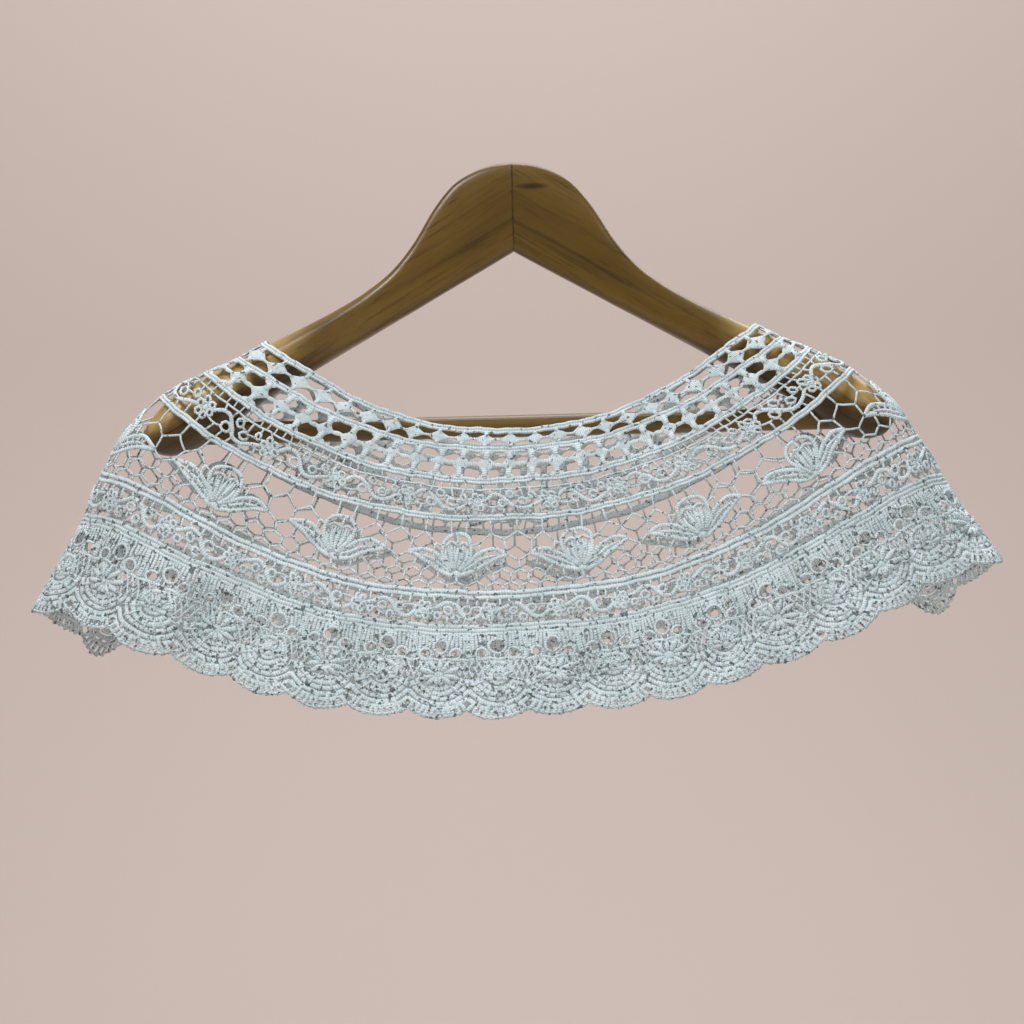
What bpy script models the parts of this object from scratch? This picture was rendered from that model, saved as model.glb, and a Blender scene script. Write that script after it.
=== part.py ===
"""A lace shawl over a wooden hanger.

The shawl is one closed ring of guipure lace, worked as seven equal repeats of two flowers each. It hangs
over a contoured wooden hanger with a trouser bar. The front faces -Y and +Z is up. The origin is the top
of the hanger, in the middle, where the stem of a hook goes in.

Sizes are in millimetres, and a drop is a distance below the origin. Points become metres in make_object.
"""

import math
from collections import namedtuple

import bpy
import numpy as np
from mathutils import Matrix
from mathutils.geometry import delaunay_2d_cdt

METRES = 0.001

# The hanging ring of lace, from the neck edge to the tips of the scallops.
# A ring of the table is one level of the lace: how far down the cloth it lies, half its width from fold to
# fold, how far below the origin it lies at the side folds and at the middle of the front and back, how far
# it stands out from the hanger there, how square its plan is (2 is an ellipse), how much its sides are held
# up by the shoulders, how far it has slid to the left on the hanger, and how much further its back sags
# between the shoulders.
Ring = namedtuple("Ring", "from_neck half_width side front back front_out back_out square held slid sag")
RINGS = (
    Ring(0.0, 142.3, 100.3, 156.5, 153.5, 22.0, 22.0, 7.0, 0.20, 3.2, 11.5),
    Ring(18.0, 158.8, 109.3, 168.7, 166.5, 29.0, 28.5, 5.5, 0.10, 3.7, 11.5),
    Ring(39.0, 176.4, 116.5, 186.7, 184.5, 36.0, 35.5, 4.2, -0.05, 5.2, 11.0),
    Ring(62.5, 202.0, 129.7, 208.4, 206.5, 43.5, 43.0, 3.3, -0.05, 6.2, 10.5),
    Ring(80.0, 219.6, 144.8, 225.4, 223.5, 49.0, 48.5, 2.8, 0.25, 6.0, 9.5),
    Ring(110.0, 240.0, 173.0, 252.1, 250.0, 58.5, 58.5, 2.3, 0.70, 5.0, 8.5),
    Ring(136.0, 253.4, 198.5, 272.8, 270.5, 67.0, 67.5, 2.1, 0.85, 4.2, 7.5),
    Ring(198.0, 285.5, 249.0, 321.0, 319.0, 86.0, 87.0, 1.95, 0.88, 3.2, 6.0),
)
DEPTH = RINGS[-1].from_neck
ASKEW = (0.0113, 0.026)  # it hangs lower on the left: its slope at the neck and at the hem

# The back turns down at both corners, below the front.
CORNER_SAG = 30.0
CORNER_PLACE = 0.91
CORNER_WIDTH = 0.085

# Soft folds that open towards the hem: where the fold runs, as a share of the way round from the left side
# fold over the front, how wide it is at the hem, how far it stands out there, and where it begins.
Fold = namedtuple("Fold", "place width out starts")
FOLDS = (
    Fold(0.030, 26.0, -6.0, 75.0),
    Fold(0.068, 30.0, 8.0, 62.0),
    Fold(0.108, 24.0, -7.0, 85.0),
    Fold(0.148, 32.0, 6.0, 70.0),
    Fold(0.187, 26.0, -4.0, 100.0),
    Fold(0.232, 38.0, 4.0, 90.0),
    Fold(0.281, 30.0, -4.0, 95.0),
    Fold(0.322, 34.0, 5.5, 80.0),
    Fold(0.366, 25.0, -6.0, 75.0),
    Fold(0.405, 30.0, 7.5, 62.0),
    Fold(0.452, 28.0, -6.5, 80.0),
    Fold(0.541, 30.0, -7.0, 70.0),
    Fold(0.588, 32.0, 7.0, 85.0),
    Fold(0.640, 28.0, -6.0, 75.0),
    Fold(0.693, 36.0, 5.0, 90.0),
    Fold(0.751, 30.0, -5.0, 80.0),
    Fold(0.805, 34.0, 6.5, 85.0),
    Fold(0.862, 27.0, -6.5, 70.0),
    Fold(0.921, 32.0, 7.5, 75.0),
    Fold(0.968, 26.0, -6.0, 85.0),
)

# The pattern. A repeat is two flowers wide; the front panel has four of them and the back has three.
REPEATS = 7
FRONT_REPEATS = 4
FIRST_REPEAT_AT = -1.0 / 28.0  # half a flower behind the left side fold
FLOWERS = 2
NECK_DIAMONDS = 7
SECOND_DIAMONDS = 8
ROSETTES_UPPER = 3
ROSETTES_LOWER = 4
SCALLOPS = 5

# How far the pattern is pushed round the ring, in repeats: it lies closer together over the front's middle
Push = namedtuple("Push", "repeat moved")
PUSHES = (
    Push(0.0, 0.008),
    Push(0.25, 0.033),
    Push(0.75, 0.072),
    Push(1.25, 0.068),
    Push(1.75, 0.040),
    Push(2.25, 0.014),
    Push(2.75, -0.018),
    Push(3.25, -0.034),
    Push(3.75, -0.040),
    Push(4.0, -0.034),
    Push(4.5, 0.012),
    Push(5.0, 0.036),
    Push(6.0, -0.068),
    Push(6.5, -0.042),
    Push(7.0, 0.008),
)
# The two rows of diamonds lie a little further back in the pattern, and the lace leans into place below them.
NECK_LEAN, LEAN_FROM, LEAN_TO = -0.040, 39.0, 60.0

WALL = 1.4
RELIEF = 0.5
MOTIF_RELIEF = 0.9
SEAM_GAP = 0.3

Tape = namedtuple("Tape", "middle width")
NECK_TAPE = Tape(2.0, 4.0)
SECOND_TAPE = Tape(18.0, 4.0)
THIRD_TAPE = Tape(39.0, 4.0)
FOURTH_TAPE = Tape(62.5, 4.0)
DOUBLE_TAPE = Tape(110.0, 7.0)
RIBBED_TAPE = Tape(136.0, 10.0)
TAPES = (SECOND_TAPE, THIRD_TAPE, FOURTH_TAPE, DOUBLE_TAPE, RIBBED_TAPE)
POINTS_PER_TAPE = 10
SIDE_LEVELS = (18.0, 39.0, 62.5, 86.0, 110.0, 136.0, 156.0, 176.0)

# Half-moon gaps between the diamonds, as shares of their width and height
MOON = ((-0.5, 0.0), (0.5, 0.0), (0.38, 0.62), (0.0, 1.0), (-0.38, 0.62))
NECK_MOON_HEIGHT = 5.2
NECK_MOON_WIDTH = 0.64
SECOND_MOON_HEIGHT = 7.0
SECOND_MOON_WIDTH = 0.66

# The gaps of the flower row, from the middle of a flower
Mesh = namedtuple("Mesh", "across from_neck radius")
FLOWER_ROW = 85.5
FLOWER_MESHES = (
    Mesh(-15.5, 72.4, 5.6),
    Mesh(15.5, 72.4, 5.6),
    Mesh(-19.5, 99.0, 4.9),
    Mesh(19.5, 99.0, 4.9),
)
BETWEEN_FLOWERS = (Mesh(0.0, 70.9, 5.2), Mesh(0.0, 89.0, 4.4), Mesh(0.0, 100.2, 5.4))
HEM_MESH = Mesh(0.0, 147.5, 3.9)

# Raised points of a flower: its bud, its foot and the spines of its two leaves
Raised = namedtuple("Raised", "across from_neck rise")
FLOWER_RELIEF = (
    Raised(0.0, 74.0, 0.5),
    Raised(-6.0, 80.0, 0.8),
    Raised(6.0, 80.0, 0.8),
    Raised(0.0, 86.0, 1.0),
    Raised(0.0, 97.5, 0.9),
    Raised(-12.0, 91.0, 0.9),
    Raised(12.0, 91.0, 0.9),
    Raised(-25.5, 84.8, 0.4),
    Raised(25.5, 84.8, 0.4),
)
UPPER_ROSETTE_ROW = 51.0
LOWER_ROSETTE_ROW = 123.0
SHELL_ROWS = (163.0, 181.0)

# A scallop of the hem: a shallow arc between two notches
NOTCH = 193.4
SCALLOP_STEPS = 6

# The surface is worked out once on a fine grid and read between its points.
STEPS_ROUND = 840
STEPS_DOWN = 66
STEPS_OVER_HALF = 600

# The hanger: sections of the left half, by how far out from the middle they lie
Section = namedtuple("Section", "out top bottom half_depth roundness")
SECTIONS = (
    Section(0.15, 0.0, 52.3, 7.5, 5.0),
    Section(11.0, 1.2, 58.5, 7.5, 5.0),
    Section(22.0, 4.8, 64.7, 7.5, 5.0),
    Section(35.5, 13.2, 72.3, 7.6, 5.0),
    Section(46.0, 25.8, 78.2, 7.8, 4.6),
    Section(58.5, 45.8, 85.4, 8.2, 4.2),
    Section(70.5, 60.5, 92.0, 9.0, 3.8),
    Section(85.5, 72.6, 100.5, 10.2, 3.4),
    Section(104.0, 83.6, 111.0, 12.4, 3.0),
    Section(124.0, 93.6, 122.4, 15.2, 2.7),
    Section(146.0, 103.9, 135.0, 17.2, 2.5),
    Section(166.0, 114.2, 148.4, 18.2, 2.4),
    Section(184.0, 122.4, 161.0, 18.4, 2.4),
    Section(199.0, 130.8, 167.0, 18.0, 2.4),
    Section(209.5, 140.0, 166.6, 15.0, 2.3),
    Section(216.3, 148.0, 163.0, 9.6, 2.2),
    Section(219.2, 152.6, 159.0, 3.8, 2.0),
)
SECTION_POINTS = 16
BOW = 10.0  # the shoulders reach this far forward of the middle
BOW_LENGTH = 220.0

BAR_RADIUS = 6.5
BAR_DROP = 154.9
BAR_HALF_LENGTH = 198.0
BAR_SIDES = 16
SOCKET_CLEARANCE = 0.3

Finish = namedtuple("Finish", "name color roughness")
LACE = Finish("lace_cotton", (0.74, 0.80, 0.81), 0.85)
WOOD = Finish("varnished_wood", (0.23, 0.14, 0.05), 0.38)


def smooth(xs, ys, x):
    """Cubic curve through the points (xs, ys), with each point's slope taken from its neighbours."""
    xs, ys, x = np.asarray(xs, float), np.asarray(ys, float), np.asarray(x, float)
    slopes = np.gradient(ys, xs)
    i = np.clip(np.searchsorted(xs, x, side="right") - 1, 0, len(xs) - 2)
    span = xs[i + 1] - xs[i]
    t = (x - xs[i]) / span
    start = (1 + 2 * t) * (1 - t) ** 2 * ys[i] + t * (1 - t) ** 2 * span * slopes[i]
    end = t * t * (3 - 2 * t) * ys[i + 1] - t * t * (1 - t) * span * slopes[i + 1]
    return start + end


def ring_value(column, from_neck):
    """A column of the ring table at any distance from the neck edge."""
    return smooth([r.from_neck for r in RINGS], [getattr(r, column) for r in RINGS], from_neck)


def ease(x):
    """0 below 0, 1 above 1 and a smooth step between."""
    x = np.clip(x, 0.0, 1.0)
    return x * x * (3 - 2 * x)


def bow(x):
    """How far forward (towards -Y) the hanger, and what hangs on it, lies at a distance from the middle."""
    return -BOW * (np.minimum(np.abs(x), BOW_LENGTH) / BOW_LENGTH) ** 2


def half_ring(from_neck, side, turn):
    """Points of one half of a ring, from fold to fold.

    The share of the width is the sine of an angle. The drop falls from the folds to the middle, flat in the
    middle and steep towards the folds, and the plan is a superellipse as square as the ring table says.
    """
    across = np.sin(np.linspace(-math.pi / 2, math.pi / 2, STEPS_OVER_HALF)) * turn
    size = np.abs(across)
    square = ring_value("square", from_neck)
    out = ring_value(side + "_out", from_neck) * (1 - size**square) ** (1 / square)
    low, high = ring_value(side, from_neck), ring_value("side", from_neck)
    drop = high + (low - high) * (1 - size**2.2) * (1 - ring_value("held", from_neck) * size**4)
    x = across * ring_value("half_width", from_neck)
    if side == "back":
        drop = drop + ring_value("sag", from_neck) * (1 - size**2) ** 2
        corner = np.exp(-(((size - CORNER_PLACE) / CORNER_WIDTH) ** 2)) * (1 - size**12)
        drop = drop + CORNER_SAG * (from_neck / DEPTH) ** 2 * corner
    y = out * (-1 if side == "front" else 1) + bow(x)
    return np.stack([x, y, -drop], axis=1)


def even_points(points, count):
    """Points spaced evenly along a line of points, without its last one."""
    steps = np.linalg.norm(np.diff(points, axis=0), axis=1)
    along = np.concatenate([[0.0], np.cumsum(steps)])
    at = np.linspace(0, along[-1], count + 1)[:-1]
    return np.stack([np.interp(at, along, points[:, k]) for k in range(3)], axis=1), along[-1]


def fold_depth(places, from_neck, length):
    """How far the folds move each place of a ring out."""
    out = np.zeros_like(places)
    for fold in FOLDS:
        away = (places - fold.place + 0.5) % 1.0 - 0.5
        opened = ease((from_neck - fold.starts) / (DEPTH - fold.starts))
        out += fold.out * opened * np.exp(-((away * length / fold.width) ** 2))
    return out


def make_ring(from_neck):
    """Evenly spaced points of a whole ring, with its folds, and the ring's length without them."""
    front, front_length = even_points(half_ring(from_neck, "front", 1), STEPS_ROUND // 2)
    back, back_length = even_points(half_ring(from_neck, "back", -1), STEPS_ROUND // 2)
    ring, length = np.concatenate([front, back]), front_length + back_length
    along = np.roll(ring, -1, axis=0) - np.roll(ring, 1, axis=0)
    outward = np.stack([along[:, 1], -along[:, 0], np.zeros(len(ring))], axis=1)
    outward /= np.linalg.norm(outward, axis=1)[:, None]
    places = np.arange(STEPS_ROUND) / STEPS_ROUND
    ring = ring + outward * fold_depth(places, from_neck, length)[:, None]
    ring[:, 2] += ring[:, 0] * np.interp(from_neck, (0.0, DEPTH), ASKEW)
    ring[:, 0] -= ring_value("slid", from_neck)
    return ring, length


def make_surface():
    """The middle of the cloth as a grid of points with outward normals, and the length of each ring."""
    levels = np.linspace(0, DEPTH, STEPS_DOWN + 1)
    rings, lengths = zip(*[make_ring(level) for level in levels], strict=True)
    points = np.stack(rings)
    down = np.gradient(points, axis=0)
    round_it = np.roll(points, -1, axis=1) - np.roll(points, 1, axis=1)
    normals = np.cross(down, round_it)
    normals /= np.linalg.norm(normals, axis=2)[:, :, None]
    return points, normals, np.array(lengths)


SURFACE, NORMALS, RING_LENGTHS = make_surface()


def repeat_width(from_neck):
    """The width of a repeat at a distance from the neck edge."""
    levels = np.linspace(0, DEPTH, STEPS_DOWN + 1)
    return float(np.interp(from_neck, levels, RING_LENGTHS)) / REPEATS


def on_cloth(repeat, from_neck, out):
    """Points on the cloth: the place round it in repeats, the distance from the neck, and how far out."""
    moved = smooth([p.repeat for p in PUSHES], [p.moved for p in PUSHES], np.asarray(repeat) % REPEATS)
    moved = moved + NECK_LEAN * ease((LEAN_TO - np.asarray(from_neck)) / (LEAN_TO - LEAN_FROM))
    place = (FIRST_REPEAT_AT + (np.asarray(repeat) + moved) / REPEATS) % 1.0 * STEPS_ROUND
    level = np.clip(np.asarray(from_neck) / DEPTH, 0, 1) * STEPS_DOWN
    i, j = np.floor(place).astype(int), np.minimum(level.astype(int), STEPS_DOWN - 1)
    a, b = (place - i)[:, None], (level - j)[:, None]
    i, after = i % STEPS_ROUND, (i + 1) % STEPS_ROUND

    def between(grid):
        upper = grid[j, i] * (1 - a) + grid[j, after] * a
        lower = grid[j + 1, i] * (1 - a) + grid[j + 1, after] * a
        return upper * (1 - b) + lower * b

    normal = between(NORMALS)
    normal /= np.linalg.norm(normal, axis=1)[:, None]
    return between(SURFACE) + normal * np.asarray(out)[:, None]


def moon(middle, flat_side, height, width):
    """A half-moon gap with its flat side along a tape; a negative height points it up."""
    return [(middle + width * a, flat_side + height * d) for a, d in MOON]


def diamond_gaps(repeat, count, flat_side, height, width):
    """A row of half-moon gaps, one between each two diamonds of a repeat."""
    return [moon(repeat + (k + 0.5) / count, flat_side, height, width / count) for k in range(count)]


def mesh_gap(middle, mesh):
    """A six-sided gap of the net, standing on a point."""
    corners = [math.radians(60 * k + 30) for k in range(6)]
    width = mesh.radius / repeat_width(mesh.from_neck)
    shift = mesh.across / repeat_width(mesh.from_neck)
    return [
        (middle + shift + width * math.cos(c), mesh.from_neck + mesh.radius * math.sin(c)) for c in corners
    ]


def gaps_of(repeat):
    """The gaps that are cut through one repeat of the lace."""
    upper_edge = SECOND_TAPE.middle - SECOND_TAPE.width / 2
    lower_edge = SECOND_TAPE.middle + SECOND_TAPE.width / 2
    third_edge = THIRD_TAPE.middle - THIRD_TAPE.width / 2
    gaps = diamond_gaps(repeat, NECK_DIAMONDS, upper_edge, -NECK_MOON_HEIGHT, NECK_MOON_WIDTH)
    gaps += diamond_gaps(repeat, SECOND_DIAMONDS, lower_edge, SECOND_MOON_HEIGHT, SECOND_MOON_WIDTH)
    gaps += diamond_gaps(repeat, SECOND_DIAMONDS, third_edge, -SECOND_MOON_HEIGHT, SECOND_MOON_WIDTH)
    for k in range(FLOWERS):
        flower = repeat + (k + 0.5) / FLOWERS
        gaps += [mesh_gap(flower, mesh) for mesh in FLOWER_MESHES]
    gaps += [mesh_gap(repeat + (k + 0.5) / SCALLOPS, HEM_MESH) for k in range(SCALLOPS)]
    return gaps


def gaps_between_flowers(first, last):
    """The gaps of the net between each two flowers of a panel. None lies on a seam."""
    middles = [k / FLOWERS for k in range(first * FLOWERS + 1, last * FLOWERS)]
    return [mesh_gap(middle, mesh) for middle in middles for mesh in BETWEEN_FLOWERS]


def raised_points_of(repeat):
    """The raised points of one repeat: tapes, flowers, rosettes and the shells of the hem."""
    points = []
    for tape in TAPES:
        points += [
            (repeat + (k + 0.5) / POINTS_PER_TAPE, tape.middle, RELIEF) for k in range(POINTS_PER_TAPE)
        ]
    for k in range(FLOWERS):
        flower = repeat + (k + 0.5) / FLOWERS
        points += [
            (flower + p.across / repeat_width(p.from_neck), p.from_neck, p.rise * MOTIF_RELIEF)
            for p in FLOWER_RELIEF
        ]
    rows = ((UPPER_ROSETTE_ROW, ROSETTES_UPPER), (LOWER_ROSETTE_ROW, ROSETTES_LOWER))
    for row, count in rows:
        points += [(repeat + (k + 0.5) / count, row, MOTIF_RELIEF) for k in range(count)]
        points += [(repeat + k / count, row, 0.0) for k in range(1, count)]
    for row in SHELL_ROWS:
        points += [(repeat + (k + 0.5) / SCALLOPS, row, RELIEF) for k in range(SCALLOPS)]
        points += [(repeat + k / SCALLOPS, row, 0.0) for k in range(1, SCALLOPS)]
    return points


def scallop_edge(first, last):
    """The hem from one seam to the other: arcs between notches, as half ellipses."""
    edge = []
    for k in range(first * SCALLOPS, last * SCALLOPS):
        for step in range(SCALLOP_STEPS):
            share = step / SCALLOP_STEPS
            arc = math.sqrt(1 - (2 * share - 1) ** 2)
            edge.append(((k + share) / SCALLOPS, NOTCH + (DEPTH - NOTCH) * arc))
    return edge + [(float(last), NOTCH)]


def outline_of(first, last):
    """A panel's outline, clockwise as seen from outside: neck edge, right seam, hem, left seam."""
    neck = [(k / POINTS_PER_TAPE, 0.0) for k in range(first * POINTS_PER_TAPE, last * POINTS_PER_TAPE + 1)]
    right = [(float(last), level) for level in SIDE_LEVELS]
    left = [(float(first), level) for level in reversed(SIDE_LEVELS)]
    edge = neck + right + scallop_edge(first, last)[::-1] + left
    clear = SEAM_GAP / 2
    return [
        (min(max(s, first + clear / repeat_width(d)), last - clear / repeat_width(d)), d) for s, d in edge
    ]


def triangulate(outline, gaps, raised):
    """Triangles of a flat panel with its gaps left out, as seen from outside.

    Returns the flat points, how far each is raised, and the triangles.
    """
    scale = repeat_width(FLOWER_ROW)
    points, rises, loops = [], [], []
    for loop in [outline, *gaps]:
        loops.append(list(range(len(points), len(points) + len(loop))))
        points += loop
        rises += [0.0] * len(loop)
    points += [(s, d) for s, d, _ in raised]
    rises += [rise for _, _, rise in raised]
    flat = [(s * scale, -d) for s, d in points]
    area = [sum(np.cross(flat[a], flat[b]) for a, b in zip(p, p[1:] + p[:1], strict=True)) for p in loops]
    loops = [p if turned > 0 else p[::-1] for p, turned in zip(loops, area, strict=True)]
    made, _, triangles, sources, _, owners = delaunay_2d_cdt(flat, [], loops, 0, 1e-5, True)
    kept = [t for t, owner in zip(triangles, owners, strict=True) if list(owner) == [0]]
    places = [(p[0] / scale, -p[1]) for p in made]
    return places, [max((rises[k] for k in source), default=0.0) for source in sources], kept


def thicken(places, rises, triangles):
    """A closed wall from flat triangles: an outer skin, an inner skin and walls round every edge."""
    used = sorted({corner for t in triangles for corner in t})
    number = {corner: k for k, corner in enumerate(used)}
    repeat = np.array([places[k][0] for k in used])
    from_neck = np.array([places[k][1] for k in used])
    rise = np.array([rises[k] for k in used])
    outer = on_cloth(repeat, from_neck, WALL / 2 + rise)
    inner = on_cloth(repeat, from_neck, np.full(len(used), -WALL / 2))
    count = len(used)
    skin = [tuple(number[corner] for corner in t) for t in triangles]
    faces = skin + [(c + count, b + count, a + count) for a, b, c in skin]
    sides = {(t[k], t[(k + 1) % 3]) for t in skin for k in range(3)}
    for a, b in sorted(sides):
        if (b, a) not in sides:
            faces += [(b, a, a + count), (b, a + count, b + count)]
    return np.concatenate([outer, inner]), faces


def make_material(finish):
    """A plain material of one colour."""
    material = bpy.data.materials.new(finish.name)
    material.use_nodes = True
    shader = material.node_tree.nodes["Principled BSDF"]
    shader.inputs["Base Color"].default_value = (*finish.color, 1.0)
    shader.inputs["Roughness"].default_value = finish.roughness
    shader.inputs["Metallic"].default_value = 0.0
    material.diffuse_color = (*finish.color, 1.0)
    return material


def make_object(name, points, faces, material, parent):
    """A named object from points in millimetres, hung from the empty that marks the hanging point."""
    mesh = bpy.data.meshes.new(name)
    mesh.from_pydata((np.asarray(points) * METRES).tolist(), [], faces)
    mesh.materials.append(material)
    made = bpy.data.objects.new(name, mesh)
    bpy.context.scene.collection.objects.link(made)
    made.parent = parent
    return made


def make_lace(name, first, last, material, parent):
    """One panel of the lace ring, from its first repeat to its last."""
    gaps = [gap for repeat in range(first, last) for gap in gaps_of(repeat)]
    gaps += gaps_between_flowers(first, last)
    raised = [point for repeat in range(first, last) for point in raised_points_of(repeat)]
    points, faces = thicken(*triangulate(outline_of(first, last), gaps, raised))
    return make_object(name, points, faces, material, parent)


def section_points(section, side):
    """The points round one section of a hanger half, a superellipse that stands upright."""
    turn = np.arange(SECTION_POINTS) * 2 * math.pi / SECTION_POINTS
    power = 2 / section.roundness
    y = section.half_depth * np.sign(np.cos(turn)) * np.abs(np.cos(turn)) ** power
    half_height = (section.bottom - section.top) / 2
    z = half_height * np.sign(np.sin(turn)) * np.abs(np.sin(turn)) ** power
    x = np.full(SECTION_POINTS, section.out * side)
    return np.stack([x, y + bow(x), z - (section.top + section.bottom) / 2], axis=1)


def make_hanger_half(name, side, material, parent):
    """One half of the hanger, lofted through its sections and closed at both ends. Side is -1 or 1."""
    points = np.concatenate([section_points(section, side) for section in SECTIONS])
    faces = []
    for k in range(len(SECTIONS) - 1):
        for p in range(SECTION_POINTS):
            q = (p + 1) % SECTION_POINTS
            a, b = k * SECTION_POINTS, (k + 1) * SECTION_POINTS
            faces.append((a + p, a + q, b + q, b + p)[::side])
    start = tuple(range(SECTION_POINTS))
    end = tuple(k + len(points) - SECTION_POINTS for k in start)
    faces += [start[::-side], end[::side]]
    half = make_object(name, points, faces, material, parent)
    half.data.set_sharp_from_angle(angle=math.radians(50))
    return half


def bar_points(radius, half_length):
    """The points of a round bar along X at the bar's place, both ends."""
    turn = np.arange(BAR_SIDES) * 2 * math.pi / BAR_SIDES
    y, z = radius * np.cos(turn), radius * np.sin(turn)
    ends = [np.stack([np.full(BAR_SIDES, x), y, z], axis=1) for x in (-half_length, half_length)]
    return np.concatenate(ends) + [0.0, bow(BAR_HALF_LENGTH), -BAR_DROP]


def make_bar(name, radius, half_length, material, parent):
    """A closed round bar along X."""
    ends = (tuple(range(BAR_SIDES))[::-1], tuple(range(BAR_SIDES, 2 * BAR_SIDES)))
    sides = [(p, (p + 1) % BAR_SIDES) for p in range(BAR_SIDES)]
    faces = [(p, q, q + BAR_SIDES, p + BAR_SIDES) for p, q in sides] + list(ends)
    return make_object(name, bar_points(radius, half_length), faces, material, parent)


def cut_socket(half, cutter):
    """Cuts the bar's socket into a hanger half."""
    cut = half.modifiers.new("socket", "BOOLEAN")
    cut.operation = "DIFFERENCE"
    cut.solver = "EXACT"
    cut.object = cutter


def main():
    for old in list(bpy.data.objects):
        bpy.data.objects.remove(old)
    hanging_point = bpy.data.objects.new("hanging_point", None)
    bpy.context.scene.collection.objects.link(hanging_point)
    hanging_point.matrix_world = Matrix.Identity(4)
    lace, wood = make_material(LACE), make_material(WOOD)
    make_lace("lace_front", 0, FRONT_REPEATS, lace, hanging_point)
    make_lace("lace_back", FRONT_REPEATS, REPEATS, lace, hanging_point)
    make_bar("hanger_bar", BAR_RADIUS, BAR_HALF_LENGTH, wood, hanging_point)
    socket = make_bar(
        "socket_cutter",
        BAR_RADIUS + SOCKET_CLEARANCE,
        BAR_HALF_LENGTH + SOCKET_CLEARANCE,
        wood,
        hanging_point,
    )
    socket.hide_render = True
    socket.display_type = "WIRE"
    for name, side in (("hanger_left", -1), ("hanger_right", 1)):
        cut_socket(make_hanger_half(name, side, wood, hanging_point), socket)


main()
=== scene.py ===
"""The looks of a lace shawl over a wooden hanger.

The shawl is one ring of guipure lace. Its cords, braids and raised motifs are worked out on the ring's own
hanging form, thread by thread, and the hanger is made finer on the sections of its solid. Sizes here are in
millimetres unless a name says otherwise, a drop is a distance below the top of the hanger, and from_neck is
a distance down the cloth from its neck edge. Meshes are written in metres.
"""

from __future__ import annotations

import logging
import math
from dataclasses import dataclass, field
from enum import Enum
from typing import Callable, Sequence

import bpy
import numpy as np
from mathutils import Matrix, Vector

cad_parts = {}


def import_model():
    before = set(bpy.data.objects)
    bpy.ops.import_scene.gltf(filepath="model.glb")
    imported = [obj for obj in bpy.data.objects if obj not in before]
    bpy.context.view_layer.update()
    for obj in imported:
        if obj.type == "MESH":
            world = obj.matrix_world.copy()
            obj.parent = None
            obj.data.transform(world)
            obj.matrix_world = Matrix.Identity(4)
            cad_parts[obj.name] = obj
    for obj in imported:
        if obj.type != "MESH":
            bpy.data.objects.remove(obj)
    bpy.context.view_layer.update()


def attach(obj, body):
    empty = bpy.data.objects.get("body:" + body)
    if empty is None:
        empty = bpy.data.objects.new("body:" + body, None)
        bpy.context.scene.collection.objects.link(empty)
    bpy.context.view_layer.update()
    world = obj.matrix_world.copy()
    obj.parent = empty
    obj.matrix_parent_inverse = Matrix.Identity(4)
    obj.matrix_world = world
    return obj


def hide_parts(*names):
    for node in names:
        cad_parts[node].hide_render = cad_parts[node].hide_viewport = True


METRES = 0.001
LOG = logging.getLogger("lace_shawl")

# A pair is a place as (across, from_neck) or a range, and a line is a row of such places. A triple is a place
# or a size in three axes, and a colour is red, green, blue and alpha.
Pair = tuple[float, float]
Line = tuple[Pair, ...]
Triple = tuple[float, float, float]
Colour = tuple[float, float, float, float]


def smooth(xs: Sequence[float], ys: Sequence[float], x: np.ndarray | float) -> np.ndarray:
    """A cubic curve through points, with each point's slope taken from its neighbours.

    Args:
        xs: Where the points lie, in rising order.
        ys: Their values.
        x: Where the curve is read.

    Returns:
        The curve's value at each x.
    """
    xs, ys, x = np.asarray(xs, float), np.asarray(ys, float), np.asarray(x, float)
    slopes = np.gradient(ys, xs)
    i = np.clip(np.searchsorted(xs, x, side="right") - 1, 0, len(xs) - 2)
    span = xs[i + 1] - xs[i]
    t = (x - xs[i]) / span
    start = (1 + 2 * t) * (1 - t) ** 2 * ys[i] + t * (1 - t) ** 2 * span * slopes[i]
    end = t * t * (3 - 2 * t) * ys[i + 1] - t * t * (1 - t) * span * slopes[i + 1]
    return start + end


def column_of(rows: Sequence[object], key: str, column: str, x: np.ndarray | float) -> np.ndarray:
    """A column of a table, as a smooth curve over another of its columns.

    Args:
        rows: The table's rows, in rising order of the key.
        key: The column that says where each row lies.
        column: The column that is read.
        x: Where it is read.

    Returns:
        The column's value at each x.
    """
    return smooth([getattr(row, key) for row in rows], [getattr(row, column) for row in rows], x)


def ease(x: np.ndarray) -> np.ndarray:
    """0 below 0, 1 above 1 and a smooth step between."""
    x = np.clip(x, 0.0, 1.0)
    return x * x * (3 - 2 * x)


def unit(vectors: np.ndarray) -> np.ndarray:
    """Vectors made one long, along the last axis."""
    return vectors / np.maximum(np.linalg.norm(vectors, axis=-1, keepdims=True), 1e-12)


def stacked(*arrays: np.ndarray) -> np.ndarray:
    """Arrays stretched to one shape and put side by side along a new last axis."""
    return np.stack(np.broadcast_arrays(*arrays), axis=-1)


def linked(name: str, data: bpy.types.ID) -> bpy.types.Object:
    """A new object of a mesh, light or camera, linked to the scene.

    Args:
        name: The object's name.
        data: Its data.

    Returns:
        The object.
    """
    made = bpy.data.objects.new(name, data)
    bpy.context.scene.collection.objects.link(made)
    return made


def bow(x: np.ndarray) -> np.ndarray:
    """How far forward the hanger lies: the square of the distance from the middle, up to its end."""
    reach, length = 10.0, 220.0
    return -reach * (np.minimum(np.abs(x), length) / length) ** 2


@dataclass(frozen=True)
class Ring:
    """One level of the hanging lace, as in the solids: sizes in millimetres, drops below the origin."""

    from_neck: float
    half_width: float
    side: float
    front: float
    back: float
    front_out: float
    back_out: float
    square: float
    held: float
    slid: float
    sag: float


@dataclass(frozen=True)
class Fold:
    """A soft fold that opens towards the hem, placed as a share of the way round from the left side fold."""

    place: float
    width: float
    out: float
    starts: float


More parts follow.
